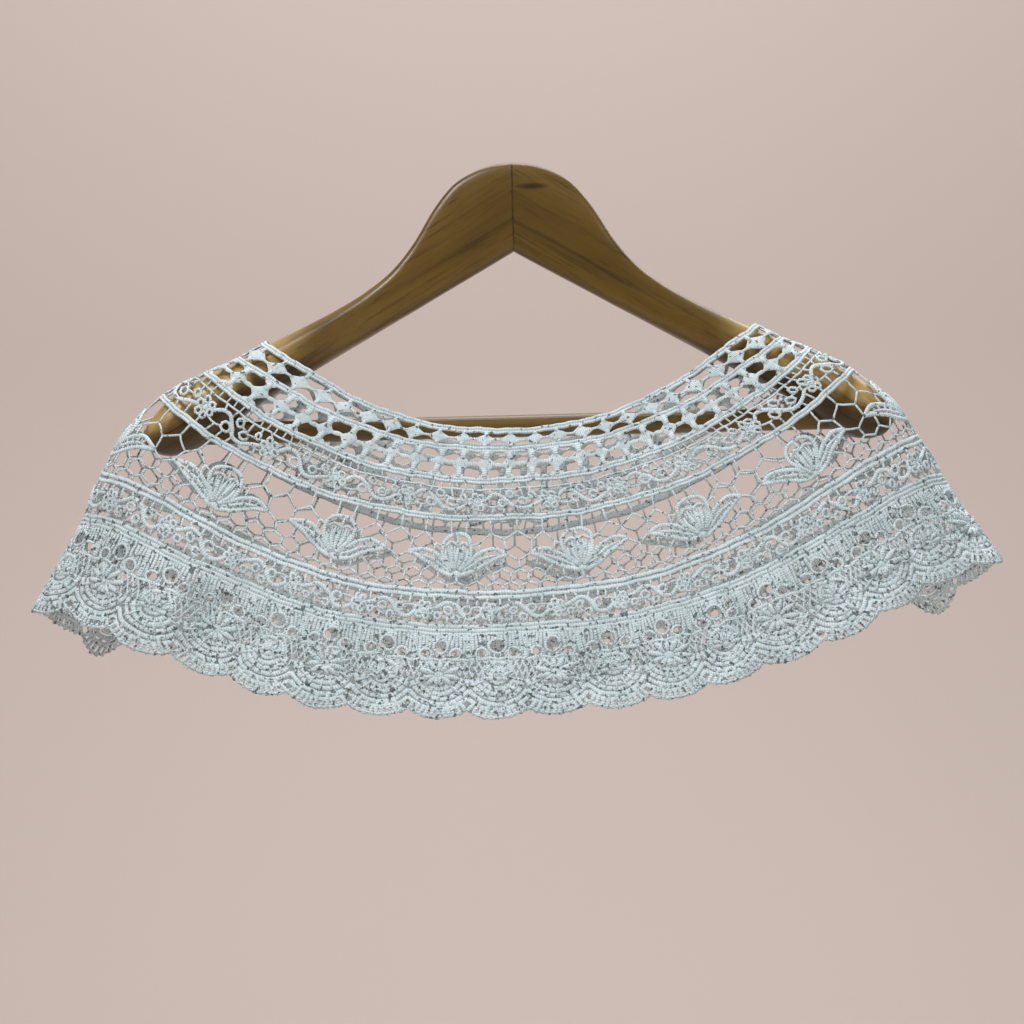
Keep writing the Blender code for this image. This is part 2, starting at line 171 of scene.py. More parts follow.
@dataclass(frozen=True)
class Crease:
    """A small trough or ridge of the lace that fades out at both ends and may lean to one side."""

    place: float
    width: float
    out: float
    starts: float
    ends: float
    lean: float


@dataclass(frozen=True)
class Push:
    """How far the pattern is pushed round the ring at a place, both in repeats."""

    repeat: float
    moved: float


@dataclass
class HangingForm:
    """The middle surface of the lace, on the rings and folds of its solid, with finer creases added.

    The rings slope sideways, by one share at the neck and another at the hem. At the back a corner sags near
    each side fold. The pattern is pushed round the ring from place to place, and above lean_to the neck's
    rows lean as well, in full from lean_from up.
    """

    rings: tuple[Ring, ...] = (
        Ring(0.0, 142.3, 100.3, 156.5, 153.5, 22.0, 22.0, 7.0, 0.20, 3.2, 11.5),
        Ring(18.0, 158.8, 109.3, 168.7, 166.5, 29.0, 28.5, 5.5, 0.10, 3.7, 11.5),
        Ring(39.0, 176.4, 116.5, 186.7, 184.5, 36.0, 35.5, 4.2, -0.05, 5.2, 11.0),
        Ring(62.5, 202.0, 129.7, 208.4, 206.5, 43.5, 43.0, 3.3, -0.05, 6.2, 10.5),
        Ring(80.0, 219.6, 144.8, 225.4, 223.5, 49.0, 48.5, 2.8, 0.25, 6.0, 9.5),
        Ring(110.0, 240.0, 173.0, 252.1, 250.0, 58.5, 58.5, 2.3, 0.70, 5.0, 8.5),
        Ring(136.0, 253.4, 198.5, 272.8, 270.5, 67.0, 67.5, 2.1, 0.85, 4.2, 7.5),
        Ring(198.0, 285.5, 249.0, 321.0, 319.0, 86.0, 87.0, 1.95, 0.88, 3.2, 6.0),
    )
    folds: tuple[Fold, ...] = tuple(
        Fold(*row)
        for row in (
            (0.030, 26.0, -6.0, 75.0), (0.068, 30.0, 8.0, 62.0), (0.108, 24.0, -7.0, 85.0),
            (0.148, 32.0, 6.0, 70.0), (0.187, 26.0, -4.0, 100.0), (0.232, 38.0, 4.0, 90.0),
            (0.281, 30.0, -4.0, 95.0), (0.322, 34.0, 5.5, 80.0), (0.366, 25.0, -6.0, 75.0),
            (0.405, 30.0, 7.5, 62.0), (0.452, 28.0, -6.5, 80.0), (0.541, 30.0, -7.0, 70.0),
            (0.588, 32.0, 7.0, 85.0), (0.640, 28.0, -6.0, 75.0), (0.693, 36.0, 5.0, 90.0),
            (0.751, 30.0, -5.0, 80.0), (0.805, 34.0, 6.5, 85.0), (0.862, 27.0, -6.5, 70.0),
            (0.921, 32.0, 7.5, 75.0), (0.968, 26.0, -6.0, 85.0),
        )
    )
    creases: tuple[Crease, ...] = tuple(
        Crease(*row)
        for row in (
            (0.055, 7.0, -2.2, 92.0, 190.0, 6.0), (0.083, 6.0, 2.0, 105.0, 205.0, -4.0),
            (0.096, 5.0, -1.8, 128.0, 210.0, 5.0), (0.124, 8.0, 1.8, 84.0, 176.0, -8.0),
            (0.139, 6.0, -2.4, 118.0, 212.0, 3.0), (0.168, 9.0, -1.6, 74.0, 150.0, 9.0),
            (0.203, 7.0, 1.5, 120.0, 205.0, -5.0), (0.219, 10.0, -1.3, 66.0, 132.0, 4.0),
            (0.252, 8.0, 1.4, 136.0, 208.0, 7.0), (0.268, 6.0, -1.2, 96.0, 172.0, -6.0),
            (0.304, 9.0, 1.4, 70.0, 140.0, -7.0), (0.338, 7.0, -1.8, 110.0, 206.0, 5.0),
            (0.352, 6.0, 1.7, 126.0, 210.0, -3.0), (0.383, 8.0, -2.0, 82.0, 168.0, 8.0),
            (0.421, 6.0, -1.9, 116.0, 212.0, -5.0), (0.438, 7.0, 2.2, 98.0, 196.0, 4.0),
            (0.470, 6.0, 1.8, 122.0, 208.0, -4.0), (0.560, 8.0, 2.0, 90.0, 180.0, 6.0),
            (0.611, 7.0, -1.8, 112.0, 204.0, -6.0), (0.662, 9.0, 1.6, 78.0, 160.0, 5.0),
            (0.717, 7.0, -1.5, 120.0, 206.0, -4.0), (0.772, 8.0, 1.6, 86.0, 170.0, 7.0),
            (0.833, 7.0, -1.9, 104.0, 200.0, -7.0), (0.889, 6.0, 2.0, 118.0, 208.0, 5.0),
            (0.944, 8.0, -2.0, 88.0, 182.0, -5.0),
        )
    )
    pushes: tuple[Push, ...] = tuple(
        Push(*row)
        for row in (
            (0.0, 0.008), (0.25, 0.033), (0.75, 0.072), (1.25, 0.068), (1.75, 0.040),
            (2.25, 0.014), (2.75, -0.018), (3.25, -0.034), (3.75, -0.040), (4.0, -0.034),
            (4.5, 0.012), (5.0, 0.036), (6.0, -0.068), (6.5, -0.042), (7.0, 0.008),
        )
    )
    neck_lean: float = -0.040
    lean_from: float = 39.0
    lean_to: float = 60.0
    repeats: int = 7
    first_repeat_at: float = -1.0 / 28.0
    askew: Pair = (0.0113, 0.026)
    corner_sag: float = 30.0
    corner_place: float = 0.91
    corner_width: float = 0.085
    droop_power: float = 2.2
    hold_power: int = 4
    corner_end_power: int = 12
    steps_round: int = 840
    steps_down: int = 66
    steps_over_half: int = 600
    depth: float = field(init=False)
    levels: np.ndarray = field(init=False)
    points: np.ndarray = field(init=False)
    normals: np.ndarray = field(init=False)
    lengths: np.ndarray = field(init=False)

    def __post_init__(self) -> None:
        """Works the surface out once, as a grid of points with outward normals."""
        self.depth = self.rings[-1].from_neck
        self.levels = np.linspace(0, self.depth, self.steps_down + 1)
        rings, lengths = zip(*[self.make_ring(level) for level in self.levels], strict=True)
        self.points, self.lengths = np.stack(rings), np.array(lengths)
        down = np.gradient(self.points, axis=0)
        round_it = np.roll(self.points, -1, axis=1) - np.roll(self.points, 1, axis=1)
        self.normals = unit(np.cross(down, round_it))

    def value(self, column: str, from_neck: float) -> float:
        """A column of the ring table at any distance from the neck edge."""
        return float(column_of(self.rings, "from_neck", column, from_neck))

    def half_ring(self, from_neck: float, side: str, turn: int) -> np.ndarray:
        """Points of one half of a ring, from fold to fold.

        The share of the width is the sine of an angle. The drop falls from the folds to the middle, flat in
        the middle and steep towards the folds, and the plan is a superellipse as square as the table says.

        Args:
            from_neck: The ring's level.
            side: "front" or "back".
            turn: 1 to go from left to right, -1 to come back.

        Returns:
            The points in order.
        """
        across = np.sin(np.linspace(-math.pi / 2, math.pi / 2, self.steps_over_half)) * turn
        size = np.abs(across)
        square = self.value("square", from_neck)
        out = self.value(side + "_out", from_neck) * (1 - size**square) ** (1 / square)
        low, high = self.value(side, from_neck), self.value("side", from_neck)
        held = self.value("held", from_neck) * size**self.hold_power
        drop = high + (low - high) * (1 - size**self.droop_power) * (1 - held)
        x = across * self.value("half_width", from_neck)
        if side == "back":
            drop = drop + self.value("sag", from_neck) * (1 - size**2) ** 2
            corner = np.exp(-(((size - self.corner_place) / self.corner_width) ** 2))
            corner = corner * (1 - size**self.corner_end_power)
            drop = drop + self.corner_sag * (from_neck / self.depth) ** 2 * corner
        return np.stack([x, out * (-1 if side == "front" else 1) + bow(x), -drop], axis=1)

    def moved_out(self, places: np.ndarray, from_neck: float, length: float) -> np.ndarray:
        """How far the folds and creases move each place of a ring out, each a bell shape across.

        Args:
            places: Places round the ring, as shares.
            from_neck: The ring's level.
            length: The ring's length.

        Returns:
            The distance out at each place.
        """
        out = np.zeros_like(places)
        for fold in self.folds:
            away = (places - fold.place + 0.5) % 1.0 - 0.5
            opened = ease((from_neck - fold.starts) / (self.depth - fold.starts))
            out += fold.out * opened * np.exp(-((away * length / fold.width) ** 2))
        for crease in self.creases:
            along = np.clip((from_neck - crease.starts) / (crease.ends - crease.starts), 0, 1)
            away = ((places - crease.place + 0.5) % 1.0 - 0.5) * length - crease.lean * (along - 0.5)
            out += crease.out * math.sin(math.pi * along) * np.exp(-((away / crease.width) ** 2))
        return out

    def make_ring(self, from_neck: float) -> tuple[np.ndarray, float]:
        """Evenly spaced points of a whole ring, with its folds.

        Args:
            from_neck: The ring's level.

        Returns:
            The points, and the ring's length without folds.
        """
        halves, lengths = [], []
        for side, turn in (("front", 1), ("back", -1)):
            half = self.half_ring(from_neck, side, turn)
            along = np.concatenate([[0.0], np.cumsum(np.linalg.norm(np.diff(half, axis=0), axis=1))])
            at = np.linspace(0, along[-1], self.steps_round // 2 + 1)[:-1]
            halves.append(np.stack([np.interp(at, along, half[:, k]) for k in range(3)], axis=1))
            lengths.append(along[-1])
        ring, length = np.concatenate(halves), sum(lengths)
        along = np.roll(ring, -1, axis=0) - np.roll(ring, 1, axis=0)
        outward = unit(np.stack([along[:, 1], -along[:, 0], np.zeros(len(ring))], axis=1))
        places = np.arange(self.steps_round) / self.steps_round
        ring = ring + outward * self.moved_out(places, from_neck, length)[:, None]
        ring[:, 2] += ring[:, 0] * np.interp(from_neck, (0.0, self.depth), self.askew)
        ring[:, 0] -= self.value("slid", from_neck)
        return ring, length

    def repeat_width(self, from_neck: np.ndarray | float) -> np.ndarray:
        """The width of a repeat at a distance from the neck edge."""
        return np.interp(from_neck, self.levels, self.lengths) / self.repeats

    def on_cloth(self, repeat: np.ndarray, from_neck: np.ndarray) -> tuple[np.ndarray, np.ndarray]:
        """Points of the surface, read between the points of its grid.

        Args:
            repeat: Places round the ring, in repeats.
            from_neck: Distances down the cloth, of the same shape.

        Returns:
            The points and the outward normals there, with one more axis of three.
        """
        repeat = np.asarray(repeat)
        moved = column_of(self.pushes, "repeat", "moved", repeat % self.repeats)
        leant = (self.lean_to - np.asarray(from_neck)) / (self.lean_to - self.lean_from)
        moved = moved + self.neck_lean * ease(leant)
        place = (self.first_repeat_at + (repeat + moved) / self.repeats) % 1.0 * self.steps_round
        level = np.asarray(from_neck) / self.depth * self.steps_down
        i = np.floor(place).astype(int)
        j = np.clip(np.floor(level).astype(int), 0, self.steps_down - 1)
        a, b = (place - i)[..., None], (level - j)[..., None]
        i, after = i % self.steps_round, (i + 1) % self.steps_round

        def between(grid: np.ndarray) -> np.ndarray:
            """Reads a grid of the form between its points.

            Args:
                grid: The grid's values.

            Returns:
                Its values at the places, in straight lines between the four nearest points.
            """
            upper = grid[j, i] * (1 - a) + grid[j, after] * a
            lower = grid[j + 1, i] * (1 - a) + grid[j + 1, after] * a
            return upper * (1 - b) + lower * b

        return between(self.points), unit(between(self.normals))


class Swell(Enum):
    """How a cord's width goes along it."""

    EVEN = "even"
    LEAF = "leaf"

    def profile(self, t: np.ndarray) -> np.ndarray:
        """The width along the cord: even, or a leaf's, which is a sine on a narrow foot.

        Args:
            t: Shares of the length.

        Returns:
            The width's share at each.
        """
        foot, belly, fullness = 0.18, 0.82, 0.8
        if self is Swell.EVEN:
            return np.ones_like(t)
        return foot + belly * np.sin(math.pi * t) ** fullness


@dataclass(frozen=True)
class Cord:
    """A cord of the pattern: its points as (across, from_neck) in a cell, and how it is worked."""

    points: Line
    half_width: float = 0.55
    out: float = 0.0
    mirrored: bool = False
    closed: bool = False
    swell: Swell = Swell.EVEN
    flatness: float = 0.85
    sides: int = 5
    step: float = 2.1


@dataclass(frozen=True)
class Pad:
    """A raised pad of satin stitches: its middle, its reach, and how pointed and how high it is."""

    across: float
    from_neck: float
    reach_across: float
    reach_down: float
    power: float = 2.0
    rise: float = 0.9
    spokes: int = 20


@dataclass(frozen=True)
class Cell:
    """Where a motif repeats: how often in a repeat, its nominal width, and which cells hold it."""

    count: int
    width: float
    phase: float = 0.5
    every: int = 1
    first: int = 0

    def middles(self, first: int, last: int) -> np.ndarray:
        """The middles of the cells of a panel.

        Args:
            first: The panel's first repeat.
            last: The repeat that ends it.

        Returns:
            The middles, in repeats.
        """
        numbers = np.arange(first * self.count, last * self.count)
        numbers = numbers[numbers % self.every == self.first]
        return (numbers + self.phase) / self.count


@dataclass
class Mesh:
    """A mesh as it is worked out: arrays of points, of face corners and of thread coordinates."""

    points: list[np.ndarray] = field(default_factory=list)
    corners: list[np.ndarray] = field(default_factory=list)
    sizes: list[np.ndarray] = field(default_factory=list)
    threads: list[np.ndarray] = field(default_factory=list)
    count: int = 0

    def add(self, points: np.ndarray, faces: Sequence[tuple[np.ndarray, np.ndarray]]) -> None:
        """Adds points, and faces given as corner numbers (faces, corners) with thread coordinates for each.

        Args:
            points: The points, one more axis of three.
            faces: Pairs of corner numbers and of the two thread coordinates at each corner.
        """
        points = points.reshape(-1, 3)
        for corners, threads in faces:
            corners = corners.reshape(-1, corners.shape[-1])
            self.corners.append((corners + self.count).ravel())
            self.sizes.append(np.full(len(corners), corners.shape[1]))
            self.threads.append(np.broadcast_to(threads, (*corners.shape, 2)).reshape(-1, 2))
        self.points.append(points)
        self.count += len(points)

    def build(self, name: str, material: bpy.types.Material) -> bpy.types.Object:
        """Makes the object, smooth, at the origin, with its thread coordinates as a UV map, and reports it.

        Args:
            name: The piece's name.
            material: Its finish.

        Returns:
            The new object, linked to the scene.
        """
        points = np.concatenate(self.points) * METRES
        corners, sizes = np.concatenate(self.corners), np.concatenate(self.sizes)
        mesh = bpy.data.meshes.new(name)
        mesh.vertices.add(len(points))
        mesh.vertices.foreach_set("co", points.astype(np.float32).ravel())
        mesh.loops.add(len(corners))
        mesh.loops.foreach_set("vertex_index", corners.astype(np.int32))
        mesh.polygons.add(len(sizes))
        starts = np.concatenate([[0], np.cumsum(sizes)[:-1]])
        mesh.polygons.foreach_set("loop_start", starts.astype(np.int32))
        mesh.update(calc_edges=True)
        threads = np.concatenate(self.threads).astype(np.float32)
        mesh.uv_layers.new(name="thread").data.foreach_set("uv", threads.ravel())
        mesh.shade_smooth()
        mesh.materials.append(material)
        LOG.info("%s: %d triangles", name, sum((sizes - 2).sum() for sizes in self.sizes))
        return linked(name, mesh)


def carried(
    line: np.ndarray,
    normals: np.ndarray,
    across: np.ndarray,
    out: np.ndarray,
    closed: bool,
    twist: float,
    around: np.ndarray | None = None,
) -> tuple[np.ndarray, list[tuple[np.ndarray, np.ndarray]]]:
    """Profiles carried along lines on the cloth.

    A point is the line's point, plus the profile's across along the line's side vector, plus its out along
    the normal. The side vector is the cross product of the line's direction and the normal.

    Args:
        line: Points, (lines, stations, 3).
        normals: The cloth's normals there.
        across: The profile's distance to the side, (lines or 1, stations, corners), turning from side to out.
        out: The profile's distance out, of the same shape.
        closed: Whether the lines run back into themselves.
        twist: The length over which the thread turns once.
        around: The thread coordinate round the profile, one more than its corners; evenly to 1 if not given.

    Returns:
        The points and the faces, as Mesh.add takes them.
    """
    lines, stations, _ = line.shape
    sides = across.shape[-1]
    around = np.arange(sides + 1) / sides if around is None else around
    ahead = np.roll(line, -1, axis=1) - np.roll(line, 1, axis=1) if closed else np.gradient(line, axis=1)
    side = unit(np.cross(unit(ahead), normals))
    points = line[:, :, None] + side[:, :, None] * across[..., None] + normals[:, :, None] * out[..., None]
    steps = np.linalg.norm(np.roll(line, -1, axis=1) - line, axis=2)
    length = np.concatenate([np.zeros((lines, 1)), np.cumsum(steps, axis=1)], axis=1) / twist
    k = np.arange(stations if closed else stations - 1)
    after = (k + 1) % stations
    j = np.arange(sides)
    base = (np.arange(lines) * stations * sides)[:, None, None]
    here, there = base + (k * sides)[None, :, None], base + (after * sides)[None, :, None]
    turn = (j + 1) % sides
    quads = stacked(here + j, there + j, there + turn, here + turn)
    u0, u1 = length[:, k][..., None], length[:, k + 1][..., None]
    v0, v1 = around[j][None, None], around[j + 1][None, None]
    faces = [(quads, stacked(u0, v0, u1, v0, u1, v1, u0, v1).reshape(-1, 4, 2))]
    if not closed:
        starts = (np.arange(lines) * stations * sides)[:, None] + j
        ends = starts + (stations - 1) * sides
        faces += [(starts, np.zeros(2)), (ends[:, ::-1], np.zeros(2))]
    return points, faces


def sampled(points: Line, step: float, closed: bool) -> np.ndarray:
    """Evenly spaced points of a smooth curve through a few points.

    Args:
        points: The curve's own points, at least two.
        step: The distance between the new ones, about.
        closed: Whether the curve runs back to its first point.

    Returns:
        The points, (stations, 2), without a second copy of the first one.
    """
    own = np.asarray(points, float)
    if closed:
        own = np.concatenate([own[-2:], own, own[:3]])
    along = np.concatenate([[0.0], np.cumsum(np.linalg.norm(np.diff(own, axis=0), axis=1))])
    start, end = (along[2], along[-3]) if closed else (along[0], along[-1])
    count = max(5 if closed else 2, int(round((end - start) / step)) + (0 if closed else 1))
    at = np.linspace(start, end, count + 1)[:-1] if closed else np.linspace(start, end, count)
    if len(own) == 2:
        return own[0] + (own[1] - own[0]) * ((at - start) / (end - start))[:, None]
    return np.stack([smooth(along, own[:, k], at) for k in range(2)], axis=1)


@dataclass(frozen=True)
class Unevenness:
    """One wave of the hand of the work: its height, its turns round, its length down, and its phase."""

    height: float
    turns: int
    length: float
    phase: float


@dataclass
class LaceWork:
    """Works cords, pads and braids onto a panel of the ring, into one mesh.

    A thread turns once over the twist, a pad's stitches are one stitch wide, and a pad's dome is worked on
    rings at these shares of its reach, with its underside at a share of its rise. Of a braid, groove is how
    high the grooves between its plaits lie, as a share of the plaits' rise, and under is its lower face.
    """

    form: HangingForm
    first: int
    last: int
    mesh: Mesh = field(default_factory=Mesh)
    twist: float = 1.5
    stitch: float = 1.0
    dome_rings: tuple[float, ...] = (1.0, 0.86, 0.5)
    dome_fall: float = 0.96
    underside: float = 0.7
    braid_stations: int = 56
    groove: float = 0.12
    under: Line = ((-1.0, -0.3), (-0.4, -0.55), (0.4, -0.55), (1.0, -0.3))
    sideways: tuple[Unevenness, ...] = (
        Unevenness(0.55, 17, 61.0, 0.3),
        Unevenness(0.32, 43, -29.0, 1.9),
        Unevenness(0.26, 91, 17.0, 4.1),
    )
    downward: tuple[Unevenness, ...] = (
        Unevenness(0.40, 13, 83.0, 2.2),
        Unevenness(0.22, 37, 31.0, 0.7),
        Unevenness(0.17, 83, -19.0, 3.6),
    )
    outward: tuple[Unevenness, ...] = (
        Unevenness(0.22, 29, 47.0, 5.1),
        Unevenness(0.12, 71, -23.0, 1.2),
    )

    def wave(self, waves: Sequence[Unevenness], repeat: np.ndarray, from_neck: np.ndarray) -> np.ndarray:
        """The sum of sine waves that run round the ring and down the cloth."""
        share = repeat / self.form.repeats
        return sum(
            w.height * np.sin(2 * math.pi * (w.turns * share + from_neck / w.length) + w.phase) for w in waves
        )

    def placed(self, repeat: np.ndarray, from_neck: np.ndarray) -> tuple[np.ndarray, np.ndarray]:
        """Points on the cloth, moved a little as in hand work.

        Args:
            repeat: Places round the ring, in repeats.
            from_neck: Distances down the cloth, of the same shape.

        Returns:
            The points and the outward normals there.
        """
        width = self.form.repeat_width(np.clip(from_neck, 0, self.form.depth))
        moved = repeat + self.wave(self.sideways, repeat, from_neck) / width
        lowered = from_neck + self.wave(self.downward, repeat, from_neck)
        points, normals = self.form.on_cloth(moved, lowered)
        return points + normals * self.wave(self.outward, repeat, from_neck)[..., None], normals

    def cord(self, cell: Cell, cord: Cord) -> None:
        """Works one cord of a motif into every cell of the panel.

        The profile is an ellipse, half as deep as flatness says, that follows the swell of the width.

        Args:
            cell: Where the motif repeats.
            cord: The cord.
        """
        flat = sampled(cord.points, cord.step, cord.closed)
        middles = cell.middles(self.first, self.last)
        for turn in (1, -1) if cord.mirrored else (1,):
            across = flat[::turn, 0] * turn / cell.width / cell.count
            repeat = middles[:, None] + across[None]
            down = np.broadcast_to(flat[::turn, 1][None], repeat.shape)
            line, normals = self.placed(repeat, down)
            swell = cord.swell.profile(np.linspace(0, 1, len(flat)))[::turn]
            turns = np.arange(cord.sides) * 2 * math.pi / cord.sides
            half = cord.half_width * swell[None, :, None]
            profile_across = half * np.cos(turns)
            profile_out = half * cord.flatness * np.sin(turns) + cord.out
            self.mesh.add(*carried(line, normals, profile_across, profile_out, cord.closed, self.twist))

    def pad(self, cell: Cell, pad: Pad) -> None:
        """Works one raised pad of a motif into every cell of the panel.

        The outline is a superellipse, concave below a power of 1. The pad is a dome on both faces: its
        height falls with the square of the share of the way out to the outline.

        Args:
            cell: Where the motif repeats.
            pad: The pad.
        """
        rings = np.array(self.dome_rings)
        turns = np.arange(pad.spokes) * 2 * math.pi / pad.spokes
        cos, sin = np.cos(turns), np.sin(turns)
        reach = (
            np.abs(cos / pad.reach_across) ** pad.power + np.abs(sin / pad.reach_down) ** pad.power
        ) ** (-1 / pad.power)
        middles = cell.middles(self.first, self.last)
        across = np.append((rings[:, None] * reach * cos).ravel(), 0.0) + pad.across
        down = np.append((rings[:, None] * reach * sin).ravel(), 0.0) + pad.from_neck
        dome = pad.rise * np.sqrt(1 - rings**2 * self.dome_fall)
        height = np.append(np.repeat(dome, pad.spokes), pad.rise)
        repeat = middles[:, None] + across[None] / cell.width / cell.count
        line, normals = self.placed(repeat, np.broadcast_to(down, repeat.shape))
        top = line + normals * height[:, None]
        bottom = line - normals * (self.underside * height[:, None])
        stitches = np.tile(np.stack([across / self.stitch, np.zeros_like(across)], axis=1), (2, 1))
        faces = self.pad_faces(len(middles), pad.spokes, len(rings))
        self.mesh.add(np.stack([top, bottom], axis=1), [(f, stitches[f % len(stitches)]) for f in faces])

    @staticmethod
    def pad_faces(count: int, spokes: int, rings: int) -> list[np.ndarray]:
        """The faces of pads: quads between the rings and round the rim, and triangles at the poles.

        Args:
            count: How many pads there are.
            spokes: The points of a ring.
            rings: The rings of a dome.

        Returns:
            The faces, as arrays of corner numbers.
        """
        j, turn = np.arange(spokes), (np.arange(spokes) + 1) % spokes
        dome = rings * spokes + 1
        base = (np.arange(count) * 2 * dome)[:, None, None]
        k = (np.arange(rings - 1) * spokes)[None, :, None]
        near, far = base + k + j, base + k + turn
        top = stacked(near, near + spokes, far + spokes, far)
        bottom = top[..., ::-1] + dome
        flat = base[:, 0]
        rim = stacked(flat + j, flat + turn, flat + dome + turn, flat + dome + j)
        last = (rings - 1) * spokes
        pole = stacked(flat + last + j, flat + dome - 1, flat + last + turn)
        under = pole[..., ::-1] + dome
        return [faces.reshape(-1, faces.shape[-1]) for faces in (top, bottom, rim, pole, under)]

    def braid(self, braid: Braid) -> None:
        """Works a flat braid all along the panel.

        Its profile is a flat band whose upper face has a round ridge for each plait. The thread coordinate
        runs from 2 in a groove to 2.5 on a ridge, so that the finish knows a braid from a cord.

        Args:
            braid: The braid.
        """
        repeat = np.linspace(self.first, self.last, (self.last - self.first) * self.braid_stations + 1)
        upper = np.linspace(1, -1, 4 * braid.ridges + 1)
        plaits = np.abs(np.sin(math.pi * braid.ridges * (upper + 1) / 2))
        height = braid.rise * (self.groove + (1 - self.groove) * plaits)
        under = np.array(self.under)
        across = np.concatenate([upper, under[:, 0]]) * braid.width / 2
        out = np.concatenate([height, under[:, 1]])
        chevron = 2.0 + (2 - np.abs(np.arange(len(across) + 1) % 4 - 2)) / 4
        line, normals = self.placed(repeat[None], np.full((1, len(repeat)), braid.middle))
        across, out = across[None, None], out[None, None]
        self.mesh.add(*carried(line, normals, across, out, False, self.twist, chevron))

    def work(self, parts: Work) -> None:
        """Works cords and pads, each as its kind asks.

        Args:
            parts: The cords and pads, with the cells that they repeat in.
        """
        for cell, part in parts:
            if isinstance(part, Pad):
                self.pad(cell, part)
            else:
                self.cord(cell, part)


def ring_of(across: float, from_neck: float, radius: float, count: int = 8) -> Line:
    """The points of a small round loop."""
    turns = [2 * math.pi * k / count for k in range(count)]
    return tuple((across + radius * math.cos(turn), from_neck + radius * math.sin(turn)) for turn in turns)


def ray(middle: Pair, degrees: float, near: float, far: float) -> Line:
    """A straight line out from a middle, its angle taken from straight down, positive to the right."""
    turn = math.radians(degrees)
    return tuple((middle[0] + r * math.sin(turn), middle[1] + r * math.cos(turn)) for r in (near, far))


def arc_of(middle: Pair, radius: float, reach: float, count: int = 9) -> Line:
    """Points of an arc round a middle, as many degrees to each side of straight down."""
    return tuple(ray(middle, degrees, 0.0, radius)[1] for degrees in np.linspace(-reach, reach, count))


def rungs_between(upper: Line, lower: Line, count: int, lean: float) -> list[Line]:
    """Straight lines from one edge of a leaf to the other, at even shares of both.

    Args:
        upper: The points of one edge.
        lower: The points of the other, in the same direction.
        count: How many lines there are.
        lean: How much further along the second edge each line ends, as a share.

    Returns:
        The lines.
    """
    fine = 0.8
    above, below = sampled(upper, fine, False), sampled(lower, fine, False)
    lines = []
    for share in (np.arange(count) + 0.5) / count:
        start = above[int(share * (len(above) - 1))]
        end = below[int(min(share + lean, 1.0) * (len(below) - 1))]
        lines.append((tuple(start), tuple(end)))
    return lines


# What a row of the pattern is made of: cords and pads, each with the cells that it repeats in.
Work = list[tuple[Cell, Cord | Pad]]


@dataclass(frozen=True)
class Yoke:
    """The two rows of diamonds, each tied to its neighbours and to the braids by four arms."""

    neck: Cell = Cell(7, 14.7, phase=0.0)
    second: Cell = Cell(8, 14.4, phase=0.0)
    neck_middle: float = 10.0
    second_middle: float = 28.5

    def neck_row(self) -> Work:
        """Flat diamonds whose side points touch.

        Returns:
            The row's cords and pads.
        """
        middle, half = self.neck_middle, self.neck.width / 2
        parts: list[Cord | Pad] = [Pad(0.0, middle, 7.2, 5.6, power=0.92, rise=0.85)]
        for sign in (-1, 1):
            upright = ((0.0, middle + sign * 3.0), (0.0, middle + sign * 6.8))
            parts.append(Cord(upright, 1.25, 0.15, flatness=0.6, sides=6, step=3.0))
        level = ((half - 3.0, middle), (half + 3.0, middle))
        parts.append(Cord(level, 0.85, 0.15, flatness=0.7, sides=6))
        return [(self.neck, part) for part in parts]

    def second_row(self) -> Work:
        """Tall diamonds with broad arms, so that the holes between them are round.

        Returns:
            The row's cords and pads.
        """
        middle, half = self.second_middle, self.second.width / 2
        parts: list[Cord | Pad] = [
            Pad(0.0, middle, 6.1, 7.0, power=0.86, rise=0.9),
            Pad(half, middle, 3.4, 1.5, rise=0.7, spokes=12),
        ]
        for sign in (-1, 1):
            upright = ((0.0, middle + sign * 2.5), (0.0, middle + sign * 9.2))
            parts.append(Cord(upright, 1.9, 0.15, flatness=0.5, sides=6, step=3.4))
            parts.append(Pad(0.0, middle + sign * 8.3, 4.0, 1.7, rise=0.7, spokes=12))
        return [(self.second, part) for part in parts]

    def work(self) -> Work:
        """Both rows."""
        return self.neck_row() + self.second_row()


